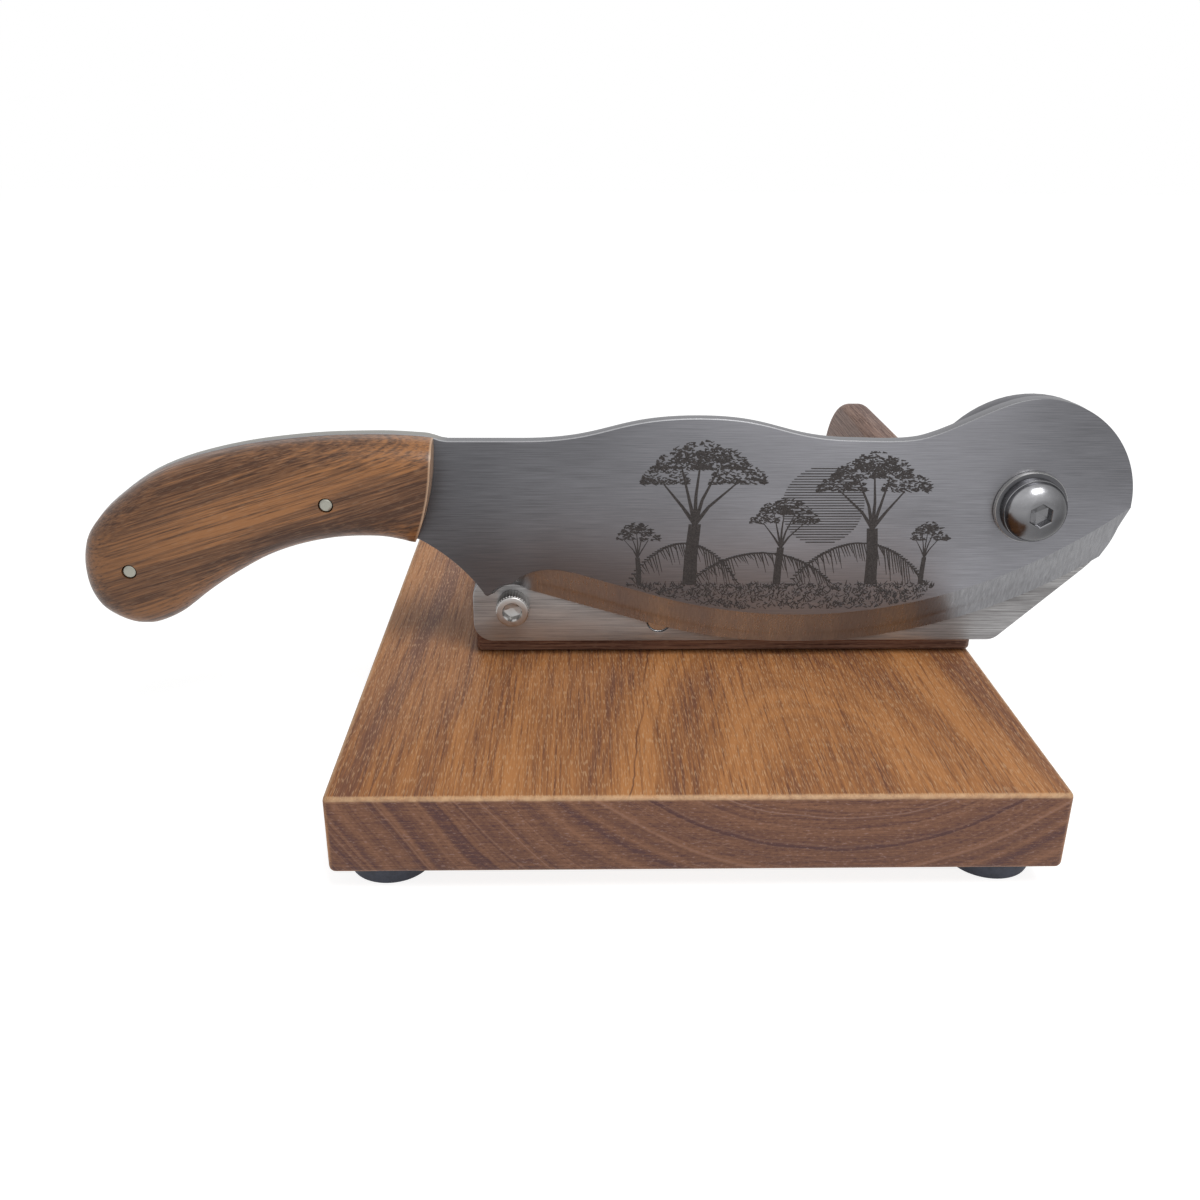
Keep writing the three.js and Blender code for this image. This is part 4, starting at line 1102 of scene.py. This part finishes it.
def butt_shade_share(tree):
    """Painted shade: the handle darker towards its far end."""
    butt = ends("handle_scale_front", X)[0]
    return between(parts_of(object_place(tree))[X], butt + BUTT_FADE, butt, 0.0, BUTT_SHADE)


def edge_highlight_share(tree):
    """A painted highlight on the rounded upper edges between faces that look along an axis, patchy with
    noise.
    """
    sides = facing(tree)
    largest = maths("MAXIMUM", maths("MAXIMUM", sides[0], sides[1]), sides[2])
    upper = between(parts_of(object_normal(tree))[Z], 0.1, 0.4)
    highlight_patches = noise(object_place(tree), (0.3, 0.3, 0.3), 3.0, 0.7)
    highlight_strength = between(highlight_patches, 0.35, 0.65, 0.3, 0.75)
    return product(between(largest, 0.995, 0.9), upper, highlight_strength)


def end_grain(place, radius, band, tones):
    """Growth rings cut across, with thin dark and pale lines, pale pores and saw marks."""
    line, pale = tones[LINE], tones[PALE]
    rings = noise_along(radius, 3 * band, 1.0)
    growth = noise_along(radius, FINE_RINGS * band, 2.0, 0.6)
    saw_marks = noise(place, (0.06, 0.3, 2.4), 2.0, 0.6)
    pores = noise(place, (0.8, 0.3, 2.0), 2.0, 0.7)
    tone = weighted([(rings, 0.7), (growth, 0.4), (saw_marks, 0.6), (pores, 0.6)])
    colour = ramp(tone, TONE_PLACES, tones)
    colour = marked(colour, line, growth, 0.36, 0.26, 0.3)
    colour = marked(colour, line, pores, 0.4, 0.3, 0.4)
    colour = marked(colour, pale, pores, 0.6, 0.7, 0.4)
    return marked(colour, pale, growth, 0.66, 0.76, 0.25)


def wood(name, tones, pith, climb, waver, band, weights, line_share, pore_share, end_tint, roughness,
         turn=(0, 0, 0), marks=()):
    """Sawn wood: bands about a pith, streaks, fibres, dark lines and pale pores along the grain, end grain.

    A band is the frequency of the rings. Marks are functions that give the share of a tone, with its index.
    """
    tones = [rgb(*tone) for tone in tones]
    line, pale = tones[LINE], tones[PALE]
    material, tree, shader = surface(name)
    place = object_place(tree, turn)
    radius = ring_radius(place, pith, climb, waver)
    bands = noise_along(radius, band, 1.0)
    rings = noise_along(radius, FINE_RINGS * band)
    streaks = noise(place, (0.7, 0.015, 0.7), 4.0, 0.7)
    fibres = noise(place, (2.2, 0.05, 2.2), 2.0, 0.6)
    pores = noise(place, (4.0, 0.36, 4.0), 0.0)
    mottle = noise(place, (0.05, 0.012, 0.05))
    tone = weighted(zip((bands, rings, streaks, fibres, mottle), weights))
    colour = ramp(tone, TONE_PLACES, tones)
    colour = marked(colour, line, streaks, 0.38, 0.26, line_share)
    colour = marked(colour, line, fibres, 0.42, 0.3, line_share)
    colour = marked(colour, pale, pores, 0.6, 0.7, pore_share)
    across = blend(1.0, end_grain(place, radius, band, tones), (*end_tint, 1.0), "MULTIPLY")
    colour = marked(colour, across, facing(tree, turn)[Y], 0.7, 0.95)
    for share, index in marks:
        colour = blend(share(tree), colour, tones[index])
    dress(shader, colour, fibres, roughness, maths("ADD", streaks, pores), depth=0.1)
    shader.inputs["Specular IOR Level"].default_value = WOOD_SPECULAR
    return material


def board_wood():
    low, high = box("base_board")
    pith = ((low[0] + high[0]) / 2 + PITH_ASIDE, high[2] + PITH_ABOVE - PITH_CLIMB * low[1])
    return wood("board_wood", BOARD_TONES, pith, PITH_CLIMB, waver=5.0, band=0.09,
                weights=(0.9, 0.3, 0.5, 0.9, 0.5), line_share=0.45, pore_share=0.4,
                end_tint=(0.53, 0.58, 0.95), roughness=(0.58, 0.42),
                # a fine crack, and a painted highlight along the upper edges
                marks=[(crack_share, LINE), (edge_highlight_share, PALE)])


def block_wood(name, turn):
    return wood(name, BLOCK_TONES, (60.0, -40.0), 0.05, waver=8.0, band=0.09,
                weights=(0.6, 0.3, 0.5, 0.9, 0.4), line_share=0.5, pore_share=0.3,
                end_tint=(0.75, 0.75, 0.8), roughness=(0.58, 0.42), turn=turn)


def handle_wood():
    material = wood("handle_wood", HANDLE_TONES, (20.0, -30.0), 0.03, waver=10.0, band=0.1,
                    weights=(0.6, 0.5, 0.9, 1.0, 0.5), line_share=0.65, pore_share=0.1,
                    end_tint=(0.7, 0.7, 0.75), roughness=(0.44, 0.28), turn=HANDLE_GRAIN,
                    # painted shade towards the butt and a painted highlight line at the bolster
                    marks=[(butt_shade_share, DARK), (bolster_highlight_share, PALE)])
    oiled = material.node_tree.nodes["Principled BSDF"].inputs
    oiled["Coat Weight"].default_value = HANDLE_COAT
    oiled["Coat Roughness"].default_value = HANDLE_COAT_ROUGHNESS
    return material


# Metal, rubber and nylon
def paint_edge_light(tree, colour, x, flat, corner):
    """Painted light and shade on edges: a flat edge painted a grey that turns lighter along the tang as a
    highlight, and a painted line where it rounds into the faces.
    """
    squarely = facing(tree)[Y]
    tang_end = ends("handle_scale_front", X)[1]
    grey = marked(rgb(*TANG_PAINTED_HIGHLIGHT), rgb(*flat), x, tang_end, tang_end + TANG_FADE)
    colour = marked(colour, rgb(*corner), squarely, 0.98, 0.85, PAINTED_CORNER_SHARE)
    return marked(colour, grey, squarely, 0.45, 0.25)


def brushed_steel(name, dark, light, lines, roughness, shades, edges=None):
    """Steel with fine scratches, clouds, painted shades that deepen from one place to another, and edges that
    may carry painted light and shade.
    """
    material, tree, shader = surface(name)
    place = object_place(tree)
    axes = parts_of(place)
    brush = noise(place, lines, 4.0, 0.7)
    cloud = noise(place, (0.02, 0.02, 0.05), 3.0)
    tone = weighted([(brush, 1.0), (cloud, 0.5)])
    colour = shaded(ramp(tone, NOISE_SPAN, (dark, light)), axes, shades)
    if edges:
        colour = paint_edge_light(tree, colour, axes[X], *edges)
    dress(shader, colour, tone, roughness, brush, depth=0.01, strength=0.15)
    shader.inputs["Metallic"].default_value = 1.0
    shader.inputs["Anisotropic"].default_value = BRUSH_TURN
    across = added("ShaderNodeTangent", {}, tree, direction_type="RADIAL", axis="X")
    put(shader.inputs["Tangent"], across.outputs[0])
    return material


def polished_steel(name, colour, roughness, edge=None, shades=()):
    """Polished or plated metal with a faint haze. An edge is a painted highlight on faces that don't look
    along Y; shades are painted as the surface turns.
    """
    material, tree, shader = surface(name)
    haze = noise(object_place(tree), (0.7, 0.7, 0.7), 4.0, 0.6)
    dull = [HAZE_TONE * c for c in colour[:3]]
    tone = blend(haze, (*dull, 1.0), colour)
    if edge:
        tone = marked(tone, edge, facing(tree)[Y], 0.97, 0.85)
    tone = shaded(tone, parts_of(object_normal(tree)), shades)
    dress(shader, tone, haze, (roughness - 0.05, roughness + 0.07), haze, depth=0.03, strength=0.2)
    shader.inputs["Metallic"].default_value = 1.0
    return material


def engraved_steel():
    material, tree, shader = surface("engraved_steel")
    grit = noise(object_place(tree), (2.5, 2.5, 2.5), 4.0, 0.7)
    colour = ramp(grit, (0.35, 0.7), (rgb(44, 41, 41), rgb(70, 66, 65)))
    dress(shader, colour, grit, (0.75, 0.55), grit, depth=0.02, strength=0.4)
    shader.inputs["Metallic"].default_value = 0.3
    return material


def moulded(name, dark, light, roughness, grain):
    """Rubber or nylon with a fine matt grain."""
    material, tree, shader = surface(name)
    place = object_place(tree)
    dust = noise(place, (0.25, 0.25, 0.25), 4.0, 0.6)
    pebble = noise(place, (grain,) * 3)
    colour = ramp(dust, (0.35, 0.72), (dark, light))
    dress(shader, colour, dust, (roughness - 0.06, roughness + 0.08), pebble, depth=0.08)
    return material


# Studio
def shown_rays(tree):
    """1 for rays from the camera and for mirrored or refracted ones."""
    path = tree.nodes.new("ShaderNodeLightPath").outputs
    direct = maths("ADD", path["Is Camera Ray"], path["Is Glossy Ray"])
    return maths("ADD", direct, path["Is Transmission Ray"], clamp=True)


def studio_world():
    world = bpy.data.worlds.new("studio")
    bpy.context.scene.world = world
    world.use_nodes = True
    tree = world.node_tree
    background = tree.nodes["Background"]
    background.inputs["Color"].default_value = WHITE
    put(background.inputs["Strength"], between(shown_rays(tree), 0.0, 1.0, WORLD_FILL, 1.0))


def studio_floor():
    """White to the eye and in mirrors, apart from the object's shadow."""
    bm = bmesh.new()
    bmesh.ops.create_grid(bm, x_segments=FLOOR_CELLS, y_segments=FLOOR_CELLS, size=FLOOR_HALF / MM)
    material, tree, shader = surface("studio_floor")
    tree.nodes.remove(shader)
    glow = added("ShaderNodeEmission", {"Color": WHITE, "Strength": FLOOR_GLOW}, tree)
    matt, plain = [added("ShaderNodeBsdfDiffuse", {"Color": (grey, grey, grey, 1.0)}, tree).outputs[0]
                   for grey in (FLOOR_MATT, FLOOR_PLAIN)]
    lit = added("ShaderNodeAddShader", {0: glow.outputs[0], 1: matt})
    mixed = added("ShaderNodeMixShader", {0: shown_rays(tree), 1: plain, 2: lit.outputs[0]})
    put(tree.nodes["Material Output"].inputs["Surface"], mixed.outputs[0])
    new_object("studio_floor", bm, [material])


def softbox(name, place, side, power):
    lamp = bpy.data.lights.new(name, "AREA")
    lamp.shape = "SQUARE"
    lamp.size = side
    lamp.energy = power
    made = linked(name, lamp)
    made.location = place
    made.rotation_euler = (Vector(LAMP_TARGET) - Vector(place)).to_track_quat("-Z", "Y").to_euler()


def camera():
    lens = bpy.data.cameras.new("camera")
    lens.lens = CAMERA_LENS
    lens.sensor_width = CAMERA_SENSOR
    lens.clip_start = CAMERA_NEAREST * MM
    made = linked("camera", lens)
    made.matrix_world = Matrix.Translation(Vector(CAMERA_PLACE) * MM)
    turns = ((-CAMERA_YAW, "Z"), (math.pi / 2 - CAMERA_PITCH, "X"), (CAMERA_ROLL, "Z"))
    for angle, axis in turns:
        made.matrix_world = made.matrix_world @ Matrix.Rotation(angle, 4, axis)
    bpy.context.scene.camera = made


# Everything put together
def make_wood():
    base_board(board_wood())
    anvil_block(block_wood("block_wood", (0, 0, math.pi / 2)))
    guide_fence(block_wood("fence_wood", (0, 0, 0)))
    grip = handle_wood()
    for name in ("handle_scale_front", "handle_scale_rear"):
        handle_scale(name, grip)


def make_steel():
    # The blade's and the plate's edges carry painted light and shade.
    face = brushed_steel("blade_steel", rgb(118, 118, 122), rgb(147, 147, 152), LENGTHWISE, (0.48, 0.36),
                         BLADE_SHADES, SPINE_PAINTED_LIGHT)
    plate = brushed_steel("plate_steel", rgb(110, 108, 108), rgb(178, 177, 177), LENGTHWISE, (0.48, 0.36),
                          PLATE_SHADES, PLATE_PAINTED_LIGHT)
    ground = brushed_steel("ground_steel", rgb(152, 152, 155), rgb(180, 180, 183), CROSSWISE, (0.36, 0.24),
                           GROUND_SHADES)
    shear_plate(plate)
    blade(face, ground)
    blade_engraving(engraved_steel())


def make_fasteners(zinc):
    polished = polished_steel("polished_steel", rgb(162, 162, 165), 0.22, shades=DOME_SHADES)
    # washers with a painted highlight on their rims
    rim_highlighted_steel = polished_steel("washer_steel", rgb(90, 90, 93), 0.3, edge=rgb(224, 223, 219))
    satin = polished_steel("satin_steel", rgb(182, 180, 178), 0.34)
    pin_steel = polished_steel("pin_steel", rgb(160, 159, 149), 0.34)
    bright = polished_steel("bright_steel", rgb(190, 188, 184), 0.12)
    nylon = moulded("nylon", rgb(52, 84, 148), rgb(70, 104, 172), 0.45, 1.5)
    for pin in PINS:
        handle_pin(pin, pin_steel)
    for screw in PLATE_SCREWS:
        countersunk_screw(screw, bright, Y)
    for screw in BOARD_SCREWS:
        countersunk_screw(screw, zinc, Z)
    stop_screw(satin)
    insert = frame["nodes"]["stop_screw_insert"]
    insert.data.materials.clear()
    insert.data.materials.append(polished_steel("brass", rgb(186, 148, 82), 0.3))
    pivot_bolt(polished)
    for name in ("pivot_washer_front", "pivot_washer_rear"):
        washer(name, rim_highlighted_steel, PIVOT_BORE, Y, WASHER_EDGE)
    lock_nut(zinc)
    washer("lock_nut_ring", nylon, PIVOT_BORE, Y, WASHER_EDGE)


def make_feet(zinc):
    rubber = moulded("rubber", rgb(48, 51, 61), rgb(82, 86, 99), 0.75, 3.0)
    for corner in FOOT_CORNERS:
        foot("foot_" + corner, rubber)
        washer("foot_washer_" + corner, zinc, FOOT_BORE, Z, FOOT_WASHER_EDGE)
        foot_screw("foot_screw_" + corner, zinc)


def make_studio():
    studio_world()
    studio_floor()
    softbox("key", *KEY_LAMP)
    softbox("fill", *FILL_LAMP)


zinc_steel = polished_steel("zinc_steel", rgb(168, 169, 171), 0.3)
make_wood()
make_steel()
make_fasteners(zinc_steel)
make_feet(zinc_steel)
camera()
make_studio()
bpy.context.scene.view_settings.view_transform = "Standard"
